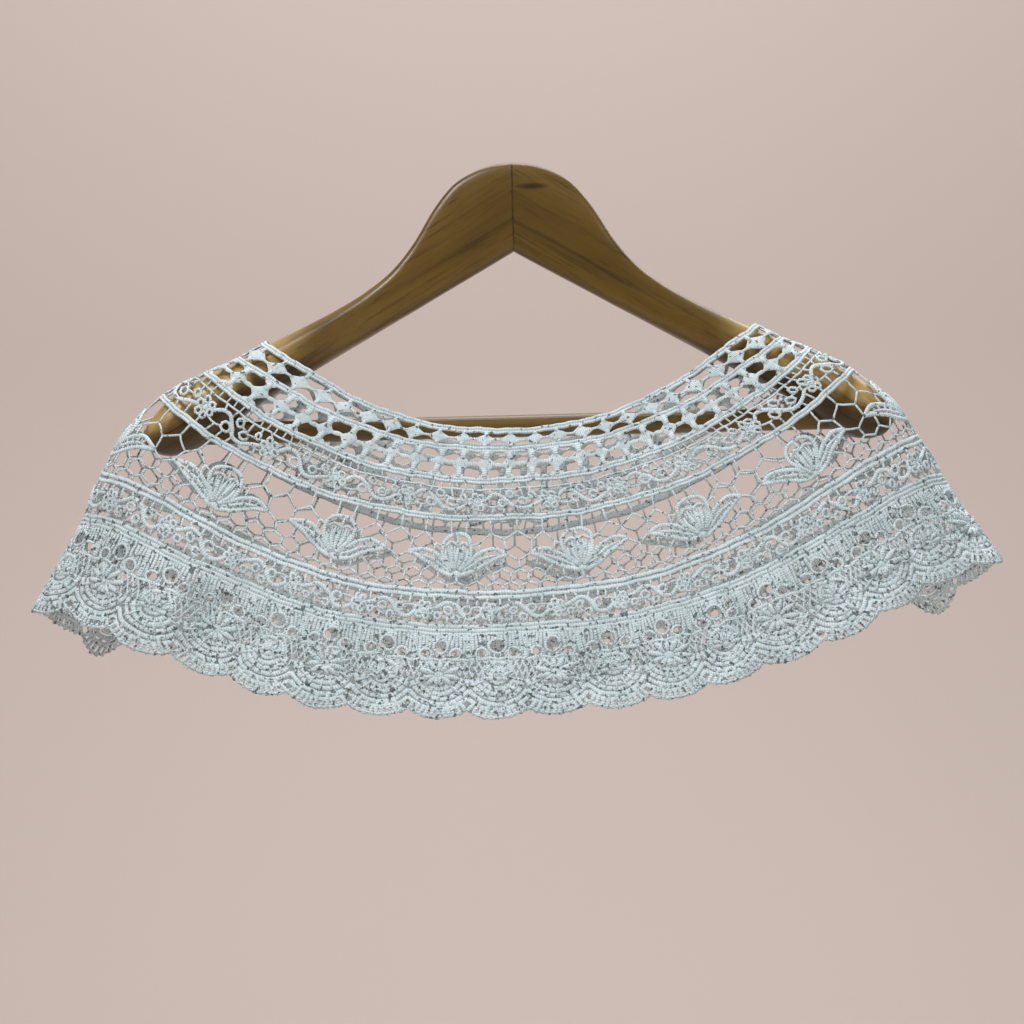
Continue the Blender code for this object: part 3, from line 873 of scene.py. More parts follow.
@dataclass(frozen=True)
class StemRow:
    """A row of rosettes on a waving stem, with leaf loops, and a net that ties it to the braids.

    The last three are the half widths of the stem, of the loops and of the net.
    """

    cell: Cell
    middle: float
    across_scale: float = 1.0
    down_scale: float = 1.0
    stem: float = 1.25
    loop: float = 0.95
    net: float = 0.66

    def at(self, *points: Pair) -> Line:
        """Points of the motif, given from the rosette's middle, where they lie in the cell."""
        return tuple((x * self.across_scale, self.middle + d * self.down_scale) for x, d in points)

    def work(self) -> Work:
        """The rosette, the stem with its loops, and the net.

        Returns:
            The row's cords and pads.
        """
        stem = (
            (4.8, -1.0), (9.5, -4.3), (14.5, -4.2), (18.5, -0.5),
            (22.0, 3.8), (27.0, 5.0), (32.0, 3.0), (38.0, 0.6),
        )
        eyes = np.arange(6) * math.pi / 3 + 0.2
        loops = (
            ((12.4, 0.8), (14.6, -1.2), (17.4, -0.4), (17.6, 2.4), (15.0, 3.6), (12.8, 2.6)),
            ((24.6, 0.4), (26.8, -1.8), (29.4, -0.6), (29.2, 1.8), (26.8, 2.6)),
            ring_of(21.5, -4.4, 2.2, 6),
            ring_of(34.4, -3.0, 2.0, 6),
            *(ring_of(3.9 * math.cos(turn), 3.9 * math.sin(turn), 1.8, 6) for turn in eyes),
        )
        net = (
            ((9.5, -4.3), (8.6, -8.0)), ((15.4, -4.4), (16.8, -8.0)), ((21.5, -6.4), (22.4, -8.0)),
            ((28.0, -2.0), (28.6, -8.0)), ((34.5, -4.6), (35.0, -8.0)), ((-1.2, -5.8), (-2.0, -8.0)),
            ((22.0, 3.8), (20.6, 8.0)), ((28.5, 5.0), (29.8, 8.0)), ((15.0, 3.9), (14.4, 8.0)),
            ((9.0, 3.2), (8.2, 8.0)), ((0.6, 5.8), (0.8, 8.0)), ((35.4, 2.0), (36.0, 8.0)),
            ((4.4, 2.6), (9.0, 3.2), (12.6, 2.4)), ((17.8, 2.2), (20.4, 2.4)), ((23.2, -4.0), (28.0, -2.0)),
            ((28.9, -1.2), (33.0, -1.4)), ((36.0, -2.4), (39.4, -2.0)),
        )
        parts: list[Cord | Pad] = [Pad(0.0, self.middle, 2.0, 1.9, rise=1.15, spokes=10)]
        parts.append(Cord(self.at(*stem), self.stem, 0.25, flatness=0.65, sides=7))
        parts += [Cord(self.at(*loop), self.loop, 0.1, closed=True, step=1.9) for loop in loops]
        parts += [Cord(self.at(*line), self.net, step=3.0) for line in net]
        return [(self.cell, part) for part in parts]


@dataclass(frozen=True)
class FlowerRow:
    """The row of flowers: a bud between two leaves, on a net of six-sided holes."""

    cell: Cell = Cell(2, 71.0)
    bud: Line = ((0.0, 72.2), (4.8, 73.0), (8.4, 76.6), (8.8, 81.6), (6.4, 88.6), (1.4, 95.2))
    brow: Line = ((0.0, 79.6), (2.0, 77.6), (4.6, 77.4), (7.6, 80.2))
    leaf_top: Line = ((1.8, 94.6), (7.2, 89.2), (13.8, 84.0), (20.6, 81.6), (28.8, 84.2))
    leaf_bottom: Line = ((1.6, 98.4), (7.6, 96.2), (14.8, 91.4), (21.6, 87.4), (28.8, 84.2))
    leaf_rib: Line = ((2.6, 96.2), (9.2, 91.4), (16.2, 87.0), (24.4, 84.8))
    net: tuple[Line, ...] = (
        ((5.2, 64.0), (5.0, 72.8)),
        ((20.0, 64.0), (20.2, 71.8), (13.4, 77.4), (8.7, 79.6)),
        ((35.5, 64.0), (35.5, 70.8), (27.6, 76.4), (20.2, 71.8)),
        ((13.4, 77.4), (13.8, 83.9)),
        ((27.6, 76.4), (28.6, 84.0), (35.5, 88.2), (35.5, 93.8), (30.4, 96.6), (25.2, 93.0), (24.4, 86.4)),
        ((25.2, 93.0), (20.2, 96.6), (15.2, 91.3)),
        ((30.4, 96.6), (30.6, 101.8), (35.5, 104.6), (35.5, 107.0)),
        ((30.6, 101.8), (25.6, 104.2), (25.6, 107.0)),
        ((20.2, 96.6), (20.4, 101.6), (25.6, 104.2)),
        ((20.4, 101.6), (15.4, 104.4), (15.4, 107.0)),
        ((10.4, 95.0), (10.8, 101.4), (15.4, 104.4)),
        ((10.8, 101.4), (5.4, 104.4), (5.4, 107.0)),
        ((0.0, 102.8), (5.4, 104.4)),
    )

    def work(self) -> Work:
        """The net, the bud with its petals, the two leaves with ribs and rungs, and the foot.

        Returns:
            The row's cords and pads.
        """
        sides = [side for points in self.net for side in zip(points, points[1:])]
        cords = [Cord(side, 0.66, mirrored=True, step=3.0) for side in sides]
        cords.append(Cord(((0.0, 97.0), (0.0, 103.4)), 0.9))
        cords.append(Cord(self.bud, 1.25, 0.45, mirrored=True, flatness=0.7, sides=7))
        cords.append(Cord(self.brow, 1.0, 0.4, mirrored=True, flatness=0.7))
        cords.append(Cord(((0.0, 72.6), (0.0, 79.6)), 0.95, 0.35))
        for x, top in ((0.0, 79.4), (3.5, 78.6), (6.6, 81.6)):
            petal = ((x, top), (x * 0.86, (top + 94.0) / 2), (x * 0.18, 94.6))
            cords.append(Cord(petal, 1.5, 0.5, mirrored=x > 0, swell=Swell.LEAF, sides=6))
        for x, top in ((1.8, 79.0), (5.1, 79.6)):
            vein = ((x, top), (x * 0.8, (top + 93.0) / 2), (x * 0.3, 93.0))
            cords.append(Cord(vein, 0.62, 0.15, mirrored=True))
        for points in (self.leaf_top, self.leaf_bottom):
            cords.append(Cord(points, 1.3, 0.35, mirrored=True, flatness=0.7, sides=7))
        cords.append(Cord(self.leaf_rib, 1.15, 0.6, mirrored=True, swell=Swell.LEAF, sides=6))
        for edge, count in ((self.leaf_top, 7), (self.leaf_bottom, 8)):
            for rung in rungs_between(edge, self.leaf_rib, count, 0.1):
                cords.append(Cord(rung, 0.72, 0.25, mirrored=True, step=4.0))
        foot = Pad(0.0, 97.0, 3.0, 2.4, rise=1.2, spokes=14)
        return [(self.cell, part) for part in [*cords, foot]]


@dataclass(frozen=True)
class Hem:
    """The deep scalloped hem: arches under the braid, a net of small holes with stars, and shells."""

    scallop: Cell = Cell(5, 35.0)
    stars: Cell = Cell(5, 35.0, every=2)
    fans: Cell = Cell(5, 35.0, every=2, first=1)
    top: float = 138.4
    middle: Pair = (0.0, 168.0)
    edge: float = 30.0
    half: float = 17.5
    slants: int = 9
    arcs: tuple[float, ...] = (9.4, 13.0, 16.6, 20.2, 23.8)
    rib_angle: float = 6.9
    edge_arc: float = 29.1

    def arches(self) -> Work:
        """Rings round the holes under the ribbed braid, with short ribs packed between them.

        Returns:
            The cords.
        """
        chain = ((-17.5, 157.4), (-14.0, 156.2), (-10.2, 156.4), (-5.0, 155.4), (0.0, 156.6))
        cords = [
            Cord(ring_of(0.0, 147.0, 5.0), 0.95, 0.1, closed=True),
            Cord(ring_of(9.9, 152.0, 3.8), 1.0, 0.1, closed=True, mirrored=True),
            Cord(chain, 1.0, 0.2, mirrored=True, flatness=0.7),
            Cord(((self.half, self.top), (self.half, 157.0)), 0.8, 0.1, step=3.4),
            Cord(((2.2, 152.0), (1.9, 156.6)), 0.66, mirrored=True, step=3.4),
            Cord(((5.0, 150.6), (5.2, 156.0)), 0.66, mirrored=True, step=3.4),
        ]
        feet = (
            (0.7, 142.6), (2.6, 143.4), (5.0, 146.2), (7.4, 148.8),
            (9.8, 148.4), (12.2, 148.8), (14.6, 152.6), (16.7, 156.6),
        )
        for x, foot in feet:
            cords.append(Cord(((x, self.top), (x + 0.1, foot)), 1.12, mirrored=True, flatness=0.45, step=3.8))
        return [(self.scallop, cord) for cord in cords]

    def lattice(self) -> Work:
        """Two sets of slanting cords with small holes between them, from the arches to the shells.

        Returns:
            The cords.
        """
        cords = []
        for x in -self.half + np.arange(self.slants) * self.scallop.width / self.slants:
            for lean in (7.0, -7.0):
                line = ((x, 155.6), (x + lean * 0.5, 162.4), (x + lean, 171.0))
                cords.append(Cord(line, 0.74, 0.1 * (lean > 0), flatness=0.7, step=3.8))
        return [(self.scallop, cord) for cord in cords]

    def star_work(self) -> Work:
        """A star of leaves on every second scallop.

        Returns:
            The stars' cords and pads.
        """
        middle = (0.0, 167.4)
        parts: list[Cord | Pad] = [Pad(*middle, 3.4, 3.2, rise=1.6, spokes=14)]
        for degrees, length in ((180, 11.0), (146, 12.4), (110, 13.6), (76, 12.6), (44, 10.6), (14, 8.6)):
            arm = ray(middle, degrees, 2.0, length)
            parts.append(Cord(arm, 1.7, 0.95, mirrored=degrees < 180, swell=Swell.LEAF, sides=7))
        return [(self.stars, part) for part in parts]

    def fan_work(self) -> Work:
        """A fan of leaves under a small arch on the scallops between the stars.

        Returns:
            The fans' cords and pads.
        """
        middle = (0.0, 170.6)
        arch = ((-9.6, 168.6), (-6.4, 161.4), (0.0, 158.8), (6.4, 161.4), (9.6, 168.6))
        parts: list[Cord | Pad] = [
            Pad(*middle, 2.6, 2.2, rise=1.3, spokes=12),
            Cord(arch, 1.15, 0.35, flatness=0.6, sides=7),
            Cord(arc_of(self.middle, 5.6, 88.0), 1.6, 0.1, flatness=0.4, step=2.9),
        ]
        for degrees in (180, 150, 121, 92):
            arm = ray(middle, degrees, 1.6, 9.4)
            parts.append(Cord(arm, 1.45, 0.6, mirrored=degrees < 180, swell=Swell.LEAF, sides=6))
        return [(self.fans, part) for part in parts]

    def shells(self) -> Work:
        """Arcs round each scallop, crossed near the edge by ribs that end as small points.

        Returns:
            The cords.
        """
        cords = []
        for number, radius in enumerate(self.arcs):
            reach = min(math.degrees(math.asin(min(self.half / radius, 0.99))), 86.0)
            arc = arc_of(self.middle, radius, reach)
            cords.append(Cord(arc, 1.72, 0.12 * (number % 2), flatness=0.34, step=2.9))
        count = int(math.degrees(math.asin(self.half / self.edge)) // self.rib_angle)
        for number in range(-count, count + 1):
            inner, outer = (19.8, self.edge + 0.7) if number % 2 == 0 else (23.2, self.edge + 0.3)
            line = ray(self.middle, number * self.rib_angle, inner, outer)
            cords.append(Cord(line, 1.42, 0.1, flatness=0.5, step=2.6))
        reach = math.degrees(math.asin(self.half / self.edge_arc))
        cords.append(Cord(arc_of(self.middle, self.edge_arc, reach), 0.95, 0.1, flatness=0.6, step=2.9))
        for degrees in np.arange(-66.0, 67.0, 22.0):
            cords.append(Cord(ray(self.middle, degrees, 9.0, 18.2), 0.8, 0.35, step=4.4))
        return [(self.scallop, cord) for cord in cords]

    def work(self) -> Work:
        """All of the hem."""
        return self.arches() + self.lattice() + self.star_work() + self.fan_work() + self.shells()


@dataclass(frozen=True)
class Braid:
    """A braid that runs all round: its middle and width, its plaits, and how far they stand out."""

    middle: float
    width: float
    ridges: int
    rise: float = 0.8


UPPER_BRAIDS = (
    Braid(2.0, 4.0, 2),
    Braid(18.0, 4.0, 2),
    Braid(39.0, 4.2, 2),
    Braid(44.8, 1.3, 1, 0.6),
    Braid(62.5, 4.2, 2),
    Braid(108.3, 2.9, 1, 0.75),
    Braid(111.7, 2.9, 1, 0.75),
)
RIBBED_BRAID = Braid(134.9, 7.4, 3, 0.6)
# The rungs between two braids: their cells, where a rung starts and ends, and its half width.
LADDERS = ((Cell(26, 4.8), 41.0, 45.0, 0.5), (Cell(44, 3.6), 109.6, 110.6, 0.5))


@dataclass
class LacePanel:
    """One panel of the ring, from its first repeat to its last, worked as an upper piece and a hem."""

    name: str
    node: str
    form: HangingForm
    first: int
    last: int

    def upper(self) -> Mesh:
        """The yoke, the stems, the flowers and the braids between them.

        Returns:
            The mesh.
        """
        lace = LaceWork(self.form, self.first, self.last)
        for braid in UPPER_BRAIDS:
            lace.braid(braid)
        for cell, start, end, half in LADDERS:
            lace.cord(cell, Cord(((0.0, start), (0.0, end)), half, step=6.0, sides=4))
        lace.work(Yoke().work())
        lace.work(StemRow(Cell(3, 43.0), 52.8).work())
        lace.work(FlowerRow().work())
        lace.work(StemRow(Cell(4, 40.0), 122.0, -0.93, -1.14, stem=1.4, loop=1.1, net=0.74).work())
        return lace.mesh

    def lower(self) -> Mesh:
        """The ribbed braid and the hem.

        Returns:
            The mesh.
        """
        lace = LaceWork(self.form, self.first, self.last)
        lace.braid(RIBBED_BRAID)
        lace.work(Hem().work())
        return lace.mesh

    def dress(self, finishes: dict[str, bpy.types.Material], flat: dict[str, Triple]) -> None:
        """Makes the panel's pieces, hides the solid that they stand in for, and hangs them on the root body.

        Args:
            finishes: The finish of each part of the panel.
            flat: Not used. For each part of the panel, the length and depth of its cut and its area, in
                metres.
        """
        for part, mesh in (("lace", self.upper()), ("hem", self.lower())):
            piece = mesh.build(f"{self.name}_{part}", finishes[part])
            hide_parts(self.node)
            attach(piece, "root")


@dataclass(frozen=True)
class Section:
    """One section of a hanger half: its place, its top and bottom drop, and how deep and round it is."""

    out: float
    top: float
    bottom: float
    half_depth: float
    roundness: float


@dataclass
class Hanger:
    """The wooden hanger: two halves lofted through the sections of their solids, and a round bar."""

    sections: tuple[Section, ...] = (
        Section(0.15, 0.0, 52.3, 7.5, 5.0),
        Section(11.0, 1.2, 58.5, 7.5, 5.0),
        Section(22.0, 4.8, 64.7, 7.5, 5.0),
        Section(35.5, 13.2, 72.3, 7.6, 5.0),
        Section(46.0, 25.8, 78.2, 7.8, 4.6),
        Section(58.5, 45.8, 85.4, 8.2, 4.2),
        Section(70.5, 60.5, 92.0, 9.0, 3.8),
        Section(85.5, 72.6, 100.5, 10.2, 3.4),
        Section(104.0, 83.6, 111.0, 12.4, 3.0),
        Section(124.0, 93.6, 122.4, 15.2, 2.7),
        Section(146.0, 103.9, 135.0, 17.2, 2.5),
        Section(166.0, 114.2, 148.4, 18.2, 2.4),
        Section(184.0, 122.4, 161.0, 18.4, 2.4),
        Section(199.0, 130.8, 167.0, 18.0, 2.4),
        Section(209.5, 140.0, 166.6, 15.0, 2.3),
        Section(216.3, 148.0, 163.0, 9.6, 2.2),
        Section(219.2, 152.6, 159.0, 3.8, 2.0),
    )
    mitre: float = 0.02
    stations: int = 120
    points_round: int = 48
    arm_degrees: float = 31.0
    sharp_degrees: float = 40.0
    bar_radius: float = 6.5
    bar_drop: float = 154.9
    bar_half_length: float = 198.0
    bar_points: int = 32
    bar_stations: int = 19
    bar_ends: Line = ((0.994, 1.0), (0.9985, 0.94), (1.0, 0.8))

    def column(self, name: str, out: np.ndarray) -> np.ndarray:
        """A column of the section table at any distance out."""
        return column_of(self.sections, "out", name, out)

    def half(self, side: int) -> Mesh:
        """One half, as a loft of superellipses that stand upright and bow forward with the shoulders.

        The stations are closer together towards the shoulder end, by the sine of their share.

        Args:
            side: -1 for the left half, 1 for the right one.

        Returns:
            The closed mesh.
        """
        shares = np.sin(np.linspace(0, math.pi / 2, self.stations))
        out = self.mitre + (self.sections[-1].out - self.mitre) * shares
        turn = np.arange(self.points_round) * 2 * math.pi / self.points_round
        power = 2 / self.column("roundness", out)[:, None]
        top, bottom = self.column("top", out)[:, None], self.column("bottom", out)[:, None]
        cos, sin = np.cos(turn), np.sin(turn)
        y = self.column("half_depth", out)[:, None] * np.sign(cos) * np.abs(cos) ** power
        z = (bottom - top) / 2 * np.sign(sin) * np.abs(sin) ** power - (top + bottom) / 2
        x = np.broadcast_to(out[:, None] * side, y.shape)
        return closed_loft(np.stack([x, y + bow(x), z], axis=-1), side)

    def bar(self) -> Mesh:
        """The bar, turned along its length, with its ends rounded over.

        Returns:
            The closed mesh.
        """
        ends = np.array(self.bar_ends)
        along = np.linspace(-0.9, 0.9, self.bar_stations)
        x = np.concatenate([-ends[::-1, 0], along, ends[:, 0]]) * self.bar_half_length
        radius = self.bar_radius * np.concatenate([ends[::-1, 1], np.ones(len(along)), ends[:, 1]])
        turn = np.arange(self.bar_points) * 2 * math.pi / self.bar_points
        y = radius[:, None] * np.cos(turn) + bow(np.array(self.bar_half_length))
        z = radius[:, None] * np.sin(turn) - self.bar_drop
        return closed_loft(np.stack([np.broadcast_to(x[:, None], y.shape), y, z], axis=-1), 1)

    def dress(self) -> None:
        """Makes the halves and the bar and gives each its varnish, with the grain along it."""
        for node, side in (("hanger_left", -1), ("hanger_right", 1)):
            name = node.replace("hanger", "varnished_wood")
            finish = WoodFinish(name, grain_slope=-self.arm_degrees * side, knot=side > 0)
            self.place(self.half(side), f"{node}_half", finish, node)
        self.place(self.bar(), "hanger_bar_round", WoodFinish("varnished_wood_bar"), "hanger_bar")

    def place(self, mesh: Mesh, name: str, finish: WoodFinish, node: str) -> None:
        """Makes a piece of the hanger, hides the solid in whose place it stands, and hangs it on the root
        body.

        Args:
            mesh: Its mesh.
            name: Its name.
            finish: Its varnish.
            node: The solid in whose place it stands.
        """
        piece = mesh.build(name, finish.make())
        piece.data.set_sharp_from_angle(angle=math.radians(self.sharp_degrees))
        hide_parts(node)
        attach(piece, "root")


def closed_loft(points: np.ndarray, side: int) -> Mesh:
    """A closed mesh from sections of points, with a flat face at each end.

    Args:
        points: The points, (sections, points round, 3).
        side: 1 where the sections go along X and turn from Y to Z, -1 where they go against it.

    Returns:
        The mesh, with its thread coordinates left at zero.
    """
    sections, around = points.shape[:2]
    j, k = np.arange(around), (np.arange(sections - 1) * around)[:, None]
    turn = (j + 1) % around
    quads = stacked(k + j, k + turn, k + around + turn, k + around + j)
    last = (sections - 1) * around
    mesh = Mesh()
    start, end = j[None], (j + last)[None]
    faces = (quads[..., ::side], start[:, ::-side], end[:, ::side])
    mesh.add(points, [(corners, np.zeros(2)) for corners in faces])
    return mesh


def operator_of(operation: str, turned: bool = False) -> Callable[[Socket, Socket | float], Socket]:
    """An operator for sockets, which adds a Math node.

    Args:
        operation: The node's operation.
        turned: Whether the socket comes second, as in a reflected operator.

    Returns:
        The operator's method.
    """

    def reckon(socket: Socket, other: Socket | float) -> Socket:
        """The node's result."""
        return socket.math(operation, *((other, socket) if turned else (socket, other)))

    return reckon


@dataclass(frozen=True)
class Socket:
    """The output of a shader node, which can be reckoned with like a number."""

    graph: Graph
    out: bpy.types.NodeSocket

    def math(self, operation: str, *values: Socket | float) -> Socket:
        """A Math node with these values, in order."""
        return self.graph.node("ShaderNodeMath", {"operation": operation}, dict(enumerate(values)))

    __add__, __radd__ = operator_of("ADD"), operator_of("ADD", turned=True)
    __sub__, __rsub__ = operator_of("SUBTRACT"), operator_of("SUBTRACT", turned=True)
    __mul__, __rmul__ = operator_of("MULTIPLY"), operator_of("MULTIPLY", turned=True)
    __truediv__, __rtruediv__ = operator_of("DIVIDE"), operator_of("DIVIDE", turned=True)
    __pow__, __rpow__ = operator_of("POWER"), operator_of("POWER", turned=True)

    def sine(self) -> Socket:
        """The sine, in radians."""
        return self.math("SINE", self)

    def size(self) -> Socket:
        """The value without its sign."""
        return self.math("ABSOLUTE", self)

    def held(self) -> Socket:
        """The value kept from 0 to 1."""
        return self.graph.node("ShaderNodeClamp", {}, {"Value": self})

    def step(self, low: float, high: float) -> Socket:
        """0 below low, 1 above high and a smooth step between."""
        inputs = {"Value": self, "From Min": low, "From Max": high}
        return self.graph.node("ShaderNodeMapRange", {"interpolation_type": "SMOOTHSTEP"}, inputs)


Input = Socket | float | tuple


@dataclass
class Graph:
    """The node tree of a material or of the world, with its one shader."""

    owner: bpy.types.Material | bpy.types.World
    kind: str = "Principled BSDF"

    def __post_init__(self) -> None:
        """Finds the tree and its shader."""
        self.owner.use_nodes = True
        self.tree = self.owner.node_tree
        self.shader = self.tree.nodes[self.kind]

    def node(
        self, kind: str, settings: dict[str, object], inputs: dict[str | int, Input], out: int | str = 0
    ) -> Socket:
        """Makes a node: its settings first, then its sockets' values or links.

        Args:
            kind: The node's type.
            settings: Its properties.
            inputs: Its sockets, by name or number.
            out: The output that is wanted.

        Returns:
            The output.
        """
        made = self.tree.nodes.new(kind)
        for name, value in settings.items():
            setattr(made, name, value)
        for name, value in inputs.items():
            self.put(made.inputs[name], value)
        return Socket(self, made.outputs[out])

    def put(self, socket: bpy.types.NodeSocket, value: Input) -> None:
        """Links a socket, or sets its own value.

        Args:
            socket: The socket.
            value: Another node's output, or a value.
        """
        if isinstance(value, Socket):
            self.tree.links.new(value.out, socket)
        else:
            socket.default_value = value

    def finish(self, **inputs: Input) -> bpy.types.Material | bpy.types.World:
        """Sets or links the shader's own sockets.

        Args:
            inputs: The sockets' values or links, named with _ for a space.

        Returns:
            The material or world.
        """
        for name, value in inputs.items():
            self.put(self.shader.inputs[name.replace("_", " ")], value)
        return self.owner

    def place(self, kind: str = "Object") -> Socket:
        """The point's coordinates on the object."""
        return self.node("ShaderNodeTexCoord", {}, {}, kind)

    def scaled(self, vector: Socket, scale: Triple) -> Socket:
        """A vector multiplied axis by axis."""
        return self.node("ShaderNodeVectorMath", {"operation": "MULTIPLY"}, {0: vector, 1: scale})

    def noise(self, vector: Socket, scale: float, detail: float = 2.0, roughness: float = 0.5) -> Socket:
        """A noise's value, about 0.5 on average."""
        inputs = {"Vector": vector, "Scale": scale, "Detail": detail, "Roughness": roughness}
        return self.node("ShaderNodeTexNoise", {}, inputs)

    def mix(self, share: Input, first: Input, second: Input) -> Socket:
        """A mix of two colours."""
        return self.node("ShaderNodeMix", {"data_type": "RGBA"}, {0: share, 6: first, 7: second}, 2)

    def axes(self, vector: Socket) -> tuple[Socket, Socket, Socket]:
        """The three numbers of a vector."""
        first = self.node("ShaderNodeSeparateXYZ", {}, {0: vector})
        return tuple(Socket(self, out) for out in first.out.node.outputs)

    def bump(self, height: Socket, distance: float, strength: float = 1.0) -> Socket:
        """A bump of a height of 0 to 1, at this distance in metres."""
        return self.node("ShaderNodeBump", {}, {"Height": height, "Distance": distance, "Strength": strength})


@dataclass(frozen=True)
class CottonFinish:
    """Bright cotton thread, cool white, twisted and a little uneven, with painted shade in its grooves,
    specks and pinholes.

    The scales are those of the noise that makes each kind of mark, in turns to a metre, and the ranges say
    where its value begins to show and where it shows in full.
    """

    name: str = "lace_cotton"
    bright: Colour = (0.755, 0.855, 0.89, 1.0)
    dull: Colour = (0.62, 0.72, 0.745, 1.0)
    groove_shade: Colour = (0.21, 0.265, 0.28, 1.0)
    hole_shade: Colour = (0.075, 0.095, 0.10, 1.0)
    cloud_scale: float = 62.0
    clouds: Pair = (0.35, 0.68)
    speck_scale: float = 560.0
    shade_specks: Pair = (0.52, 0.70)
    pin_scale: float = 410.0
    hole_shade_spots: Pair = (0.635, 0.70)
    fibre_scale: float = 820.0
    relief: float = 0.0003
    roughness: float = 0.85
    sheen: float = 0.25

    def make(self) -> bpy.types.Material:
        """The thread's twist comes from its own coordinates, and the unevenness from the object's.

        Returns:
            The material.
        """
        graph = Graph(bpy.data.materials.new(self.name))
        along, around, _ = graph.axes(graph.place("UV"))
        strand = ((along + around) * (2 * math.pi)).sine() * 0.5 + 0.5
        place = graph.place()
        cloudy = graph.noise(place, self.cloud_scale, 3.0).step(*self.clouds)
        fibres = graph.noise(place, self.fibre_scale)
        colour = graph.mix(cloudy, self.dull, self.bright)
        braided = around.step(1.4, 1.6)
        dots = ((along * (2 * math.pi)).sine() * 0.5 + 0.5) ** 2.0
        plait_groove_shade = (1.0 - (around - 2.0).size() * 3.2).held() * braided * (dots * 0.75 + 0.25)
        # painted shade: dark specks that stand for small holes where shade shows through
        shade_specks = graph.noise(place, self.speck_scale).step(*self.shade_specks)
        # painted shade: the grooves between the twisted strands and between a braid's plaits are darkened, as
        # are the specks
        groove = (1.0 - strand) ** 2.0 * (0.34 - braided * 0.16) + shade_specks * 0.34 + plait_groove_shade
        # painted shade: dark pinholes that stand for small holes in the lace
        hole_shade_spots = graph.noise(place, self.pin_scale, 1.0).step(*self.hole_shade_spots) * 0.85
        colour = graph.mix(groove.held(), colour, self.groove_shade)
        colour = graph.mix(hole_shade_spots, colour, self.hole_shade)
        return graph.finish(
            Base_Color=colour,
            Roughness=self.roughness,
            Sheen_Weight=self.sheen,
            Sheen_Roughness=0.5,
            Specular_IOR_Level=0.25,
            Normal=graph.bump(strand * (0.8 - braided * 0.4) + fibres * 0.6, self.relief, 0.8),
        )


@dataclass(frozen=True)
class WoodFinish:
    """Brown wood under a clear varnish, with its grain along the piece.

    A half's arm has a painted highlight above a line that falls with arm_slope, from arm_top below the
    hanger's top in the middle, and painted shade below that line; both come in over the range of arm. The
    middle is darker, out to the range of dark_middle, with a dark line as wide as mitre to each side of its
    joint. Each grain is noise with these turns to a metre along, across and up the piece.
    """

    name: str
    grain_slope: float = 0.0
    knot: bool = False
    light: Colour = (0.180, 0.104, 0.020, 1.0)
    middle: Colour = (0.106, 0.060, 0.0075, 1.0)
    dark: Colour = (0.036, 0.019, 0.005, 1.0)
    wear_and_painted_highlight: Colour = (0.53, 0.345, 0.120, 1.0)
    arm: Pair = (0.112, 0.150)
    arm_slope: float = 0.48
    arm_top: float = 0.052
    mitre: float = 0.0007
    dark_middle: Pair = (0.01, 0.10)
    band_grain: Triple = (3.0, 26.0, 42.0)
    streak_grain: Triple = (14.0, 160.0, 300.0)
    pore_grain: Triple = (60.0, 900.0, 1300.0)
    knot_at: Pair = (0.0115, -0.0145)
    knot_reach: Pair = (0.011, 0.0022)
    relief: float = 0.00018

    def make(self) -> bpy.types.Material:
        """The grain is noise drawn out along the piece, with finer dark pores and wide bands across it.

        Returns:
            The material.
        """
        graph = Graph(bpy.data.materials.new(self.name))
        place = graph.place()
        slope = {"Vector": place, "Angle": math.radians(self.grain_slope)}
        turned = graph.node("ShaderNodeVectorRotate", {"rotation_type": "Y_AXIS"}, slope)
        bands = graph.noise(graph.scaled(turned, self.band_grain), 1.0, 4.0, 0.6)
        streaks = graph.noise(graph.scaled(turned, self.streak_grain), 1.0, 5.0, 0.65)
        pores = graph.noise(graph.scaled(turned, self.pore_grain), 1.0)
        patches = graph.noise(place, 14.0)
        colour = graph.mix(bands.step(0.32, 0.70), self.middle, self.light)
        grain_and_painted_shade = streaks.step(0.50, 0.72) * 0.55 + pores.step(0.56, 0.74) * 0.30
        grain_and_painted_shade = grain_and_painted_shade + patches.step(0.5, 0.8) * 0.25
        if self.grain_slope:
            x, _, z = graph.axes(place)
            out = x.size()
            arm = out.step(*self.arm)
            upper = (z + out * self.arm_slope + self.arm_top).step(-0.008, 0.006)
            # painted highlight: the arm's top, above the line, is lightened to a pale tan
            colour = graph.mix(arm * upper * 0.85, colour, self.wear_and_painted_highlight)
            # painted shade: the arm's underside, below the line, is darkened
            grain_and_painted_shade = grain_and_painted_shade + arm * (1.0 - upper) * 0.6
            grain_and_painted_shade = grain_and_painted_shade + (1.0 - out / self.mitre).held() * 0.9
            grain_and_painted_shade = grain_and_painted_shade + (1.0 - out.step(*self.dark_middle)) * 0.16
        if self.knot:
            grain_and_painted_shade = grain_and_painted_shade + self.knot_mark(graph, place)
        colour = graph.mix(grain_and_painted_shade.held(), colour, self.dark)
        return graph.finish(
            Base_Color=colour,
            Roughness=streaks * 0.12 + 0.34,
            Coat_Weight=0.30,
            Coat_Roughness=0.20,
            Specular_IOR_Level=0.3,
            Normal=graph.bump(streaks * 0.6 + pores * 0.4, self.relief, 0.5),
        )

    def knot_mark(self, graph: Graph, place: Socket) -> Socket:
        """A small dark knot drawn out level, on the upper right of the middle.

        Args:
            graph: The wood's nodes.
            place: The point's coordinates on the object.

        Returns:
            How dark the knot makes the wood.
        """
        x, _, z = graph.axes(place)
        wide = (x - self.knot_at[0]) / self.knot_reach[0]
        tall = (z - self.knot_at[1]) / self.knot_reach[1]
        return (1.0 - (wide * wide + tall * tall)).held() * 0.75


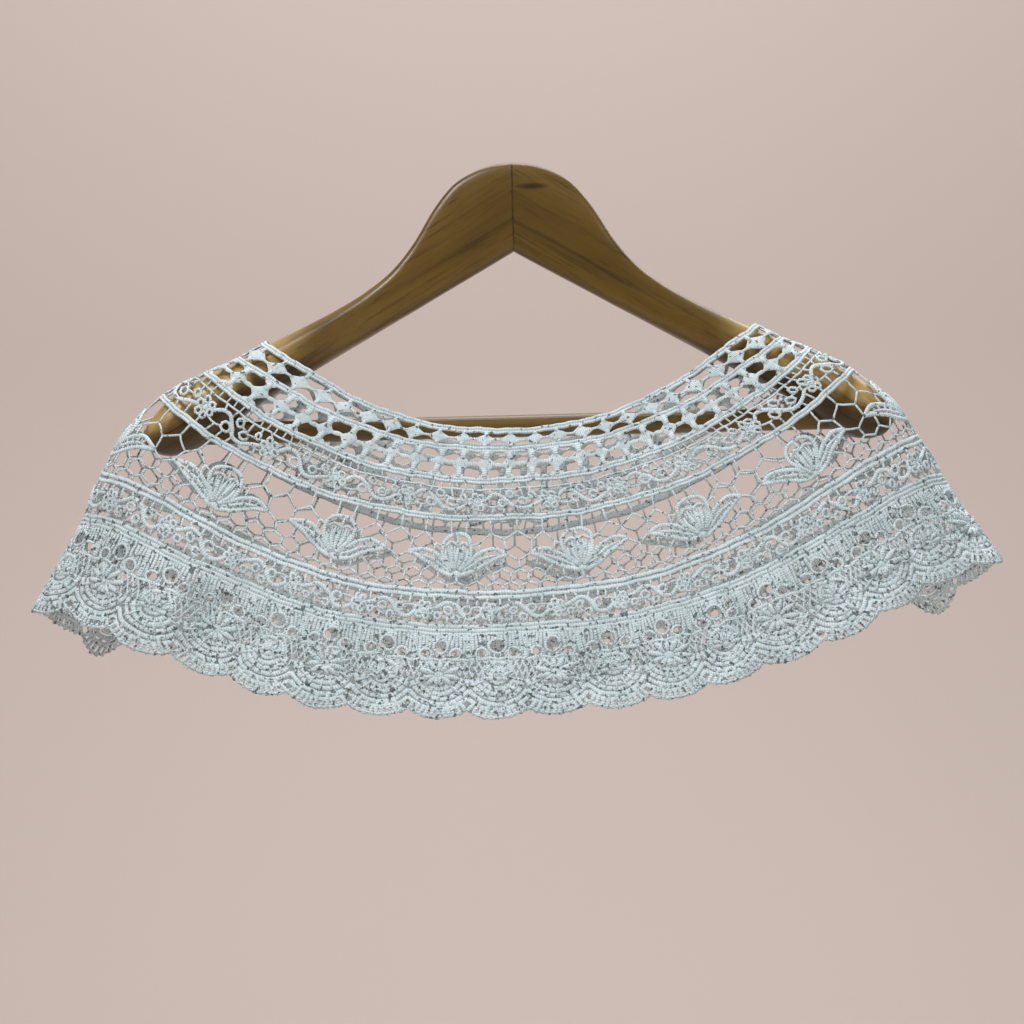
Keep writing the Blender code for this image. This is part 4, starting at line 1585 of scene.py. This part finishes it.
@dataclass(frozen=True)
class PaperFinish:
    """Plain matt studio paper."""

    name: str = "studio_paper"
    pale: Colour = (0.66, 0.56, 0.515, 1.0)

    def make(self) -> bpy.types.Material:
        """One pale colour with a faint unevenness.

        Returns:
            The material.
        """
        graph = Graph(bpy.data.materials.new(self.name))
        cloudy = graph.noise(graph.place(), 1.3)
        wear_and_painted_highlight = tuple(0.97 * value for value in self.pale[:3]) + (1.0,)
        return graph.finish(Base_Color=graph.mix(cloudy, self.pale, wear_and_painted_highlight), Roughness=0.95)


@dataclass(frozen=True)
class Softbox:
    """A square area light: where it hangs, what it looks at, its size, power and colour."""

    name: str
    place: Triple
    size: float
    power: float
    colour: Triple = (1.0, 1.0, 1.0)
    aim: Triple = (0.0, 0.0, -0.18)

    def hang(self) -> None:
        """Makes the light and turns it to its aim."""
        light = bpy.data.lights.new(self.name, "AREA")
        light.shape, light.size, light.energy, light.color = "SQUARE", self.size, self.power, self.colour
        lamp = linked(self.name, light)
        lamp.location = self.place
        ahead = Vector(self.aim) - Vector(self.place)
        lamp.rotation_euler = ahead.to_track_quat("-Z", "Y").to_euler()


@dataclass(frozen=True)
class Studio:
    """A pale sweep behind and below the hanging piece, soft lights, and the camera.

    The sweep is flat from front to bend_at, then turns up over bend, and air lights the piece evenly. Past
    the sweep's edges the camera sees the colour far.
    """

    floor: float = -0.85
    front: float = -3.2
    bend_at: float = 2.3
    bend: float = 0.9
    bend_rows: int = 25
    height: float = 3.0
    half_width: float = 3.2
    lens: float = 131.5
    sensor: float = 36.0
    camera: Triple = (-0.0049, -2.2, -0.2052)
    roll: float = -1.45
    air: Colour = (0.100, 0.099, 0.098, 1.0)
    far: Colour = (0.58, 0.485, 0.44, 1.0)
    lights: tuple[Softbox, ...] = (
        Softbox("key", (-1.0, -1.3, 1.35), 0.8, 35.0, (1.0, 0.995, 0.985)),
        Softbox("fill", (1.6, -1.6, 0.35), 1.3, 15.5, (0.93, 0.98, 1.0)),
        Softbox("back", (0.9, 1.3, 1.1), 1.0, 8.0),
        Softbox("top", (0.1, 0.2, 1.5), 0.9, 16.0),
        Softbox("wash", (0.0, 1.5, 2.2), 1.6, 50.0, aim=(0.0, 3.2, -0.2)),
    )

    def sweep(self) -> None:
        """The floor and backdrop: flat, then a quarter turn, then upright, as one grid carried along X."""
        turn = np.linspace(0, math.pi / 2, self.bend_rows)
        back = self.bend_at + self.bend
        y = np.concatenate([[self.front], self.bend_at + self.bend * np.sin(turn), [back]])
        z = np.concatenate([[self.floor], self.floor + self.bend * (1 - np.cos(turn)), [self.height]])
        x = np.array([-self.half_width, self.half_width])
        rows = len(y)
        points = np.stack([np.repeat(x, rows), np.tile(y, 2), np.tile(z, 2)], axis=1)
        k = np.arange(rows - 1)
        faces = np.stack([k, k + rows, k + rows + 1, k + 1], axis=1)
        mesh = bpy.data.meshes.new("sweep")
        mesh.from_pydata(points.tolist(), [], faces.tolist())
        mesh.shade_smooth()
        mesh.materials.append(PaperFinish().make())
        linked("sweep", mesh)

    def view(self) -> None:
        """Sets up the camera, level but for its roll."""
        lens = bpy.data.cameras.new("camera")
        lens.lens, lens.sensor_width = self.lens, self.sensor
        eye = linked("camera", lens)
        eye.location = self.camera
        level, roll = Matrix.Rotation(math.pi / 2, 3, "X"), Matrix.Rotation(math.radians(self.roll), 3, "Z")
        eye.rotation_euler = (level @ roll).to_euler()
        bpy.context.scene.camera = eye

    def make(self) -> None:
        """Makes the sweep, the lights, the air's even light, the pale distance and the camera."""
        self.sweep()
        for light in self.lights:
            light.hang()
        world = Graph(bpy.data.worlds.new("studio_air"), "Background")
        seen = world.node("ShaderNodeLightPath", {}, {}, "Is Camera Ray")
        bpy.context.scene.world = world.finish(Color=world.mix(seen, self.air, self.far))
        bpy.context.scene.view_settings.view_transform = "Standard"
        self.view()


@dataclass
class Shawl:
    """The whole ring of lace, in a front and a back panel."""

    form: HangingForm = field(default_factory=HangingForm)
    front_repeats: int = 4
    lace_depth: float = 0.141
    hem_depth: float = 0.057
    hem_from: float = 141.0

    def cut(self, repeats: int) -> dict[str, Triple]:
        """The length, depth and area of each part of a panel's cut, in metres.

        Args:
            repeats: How many repeats the panel has.

        Returns:
            For the lace and for the hem, the three sizes.
        """
        levels = np.linspace(0, self.form.depth, 400)
        widths = self.form.repeat_width(levels) * repeats * METRES
        upper = levels <= self.hem_from
        lace = float(widths[upper].mean()) * self.lace_depth
        hem = float(widths[~upper].mean()) * self.hem_depth
        return {
            "lace": (float(widths[upper].max()), self.lace_depth, lace),
            "hem": (float(widths.max()), self.hem_depth, hem),
        }

    def dress(self) -> None:
        """Makes both panels, in one cotton, with more painted dark pinholes, which stand for small holes, in
        the dense hem.
        """
        hem_cotton = CottonFinish("lace_cotton_hem", hole_shade_spots=(0.595, 0.655))
        finishes = {"lace": CottonFinish().make(), "hem": hem_cotton.make()}
        ends = (0, self.front_repeats, self.form.repeats)
        for name, first, last in zip(("front", "back"), ends, ends[1:]):
            panel = LacePanel(name, f"lace_{name}", self.form, first, last)
            panel.dress(finishes, self.cut(last - first))


def main() -> None:
    """Dresses the part: studio and camera, hanger, lace."""
    logging.basicConfig(level=logging.INFO, format="%(name)s: %(message)s")
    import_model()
    Studio().make()
    Hanger().dress()
    Shawl().dress()


if __name__ == "__main__":
    main()
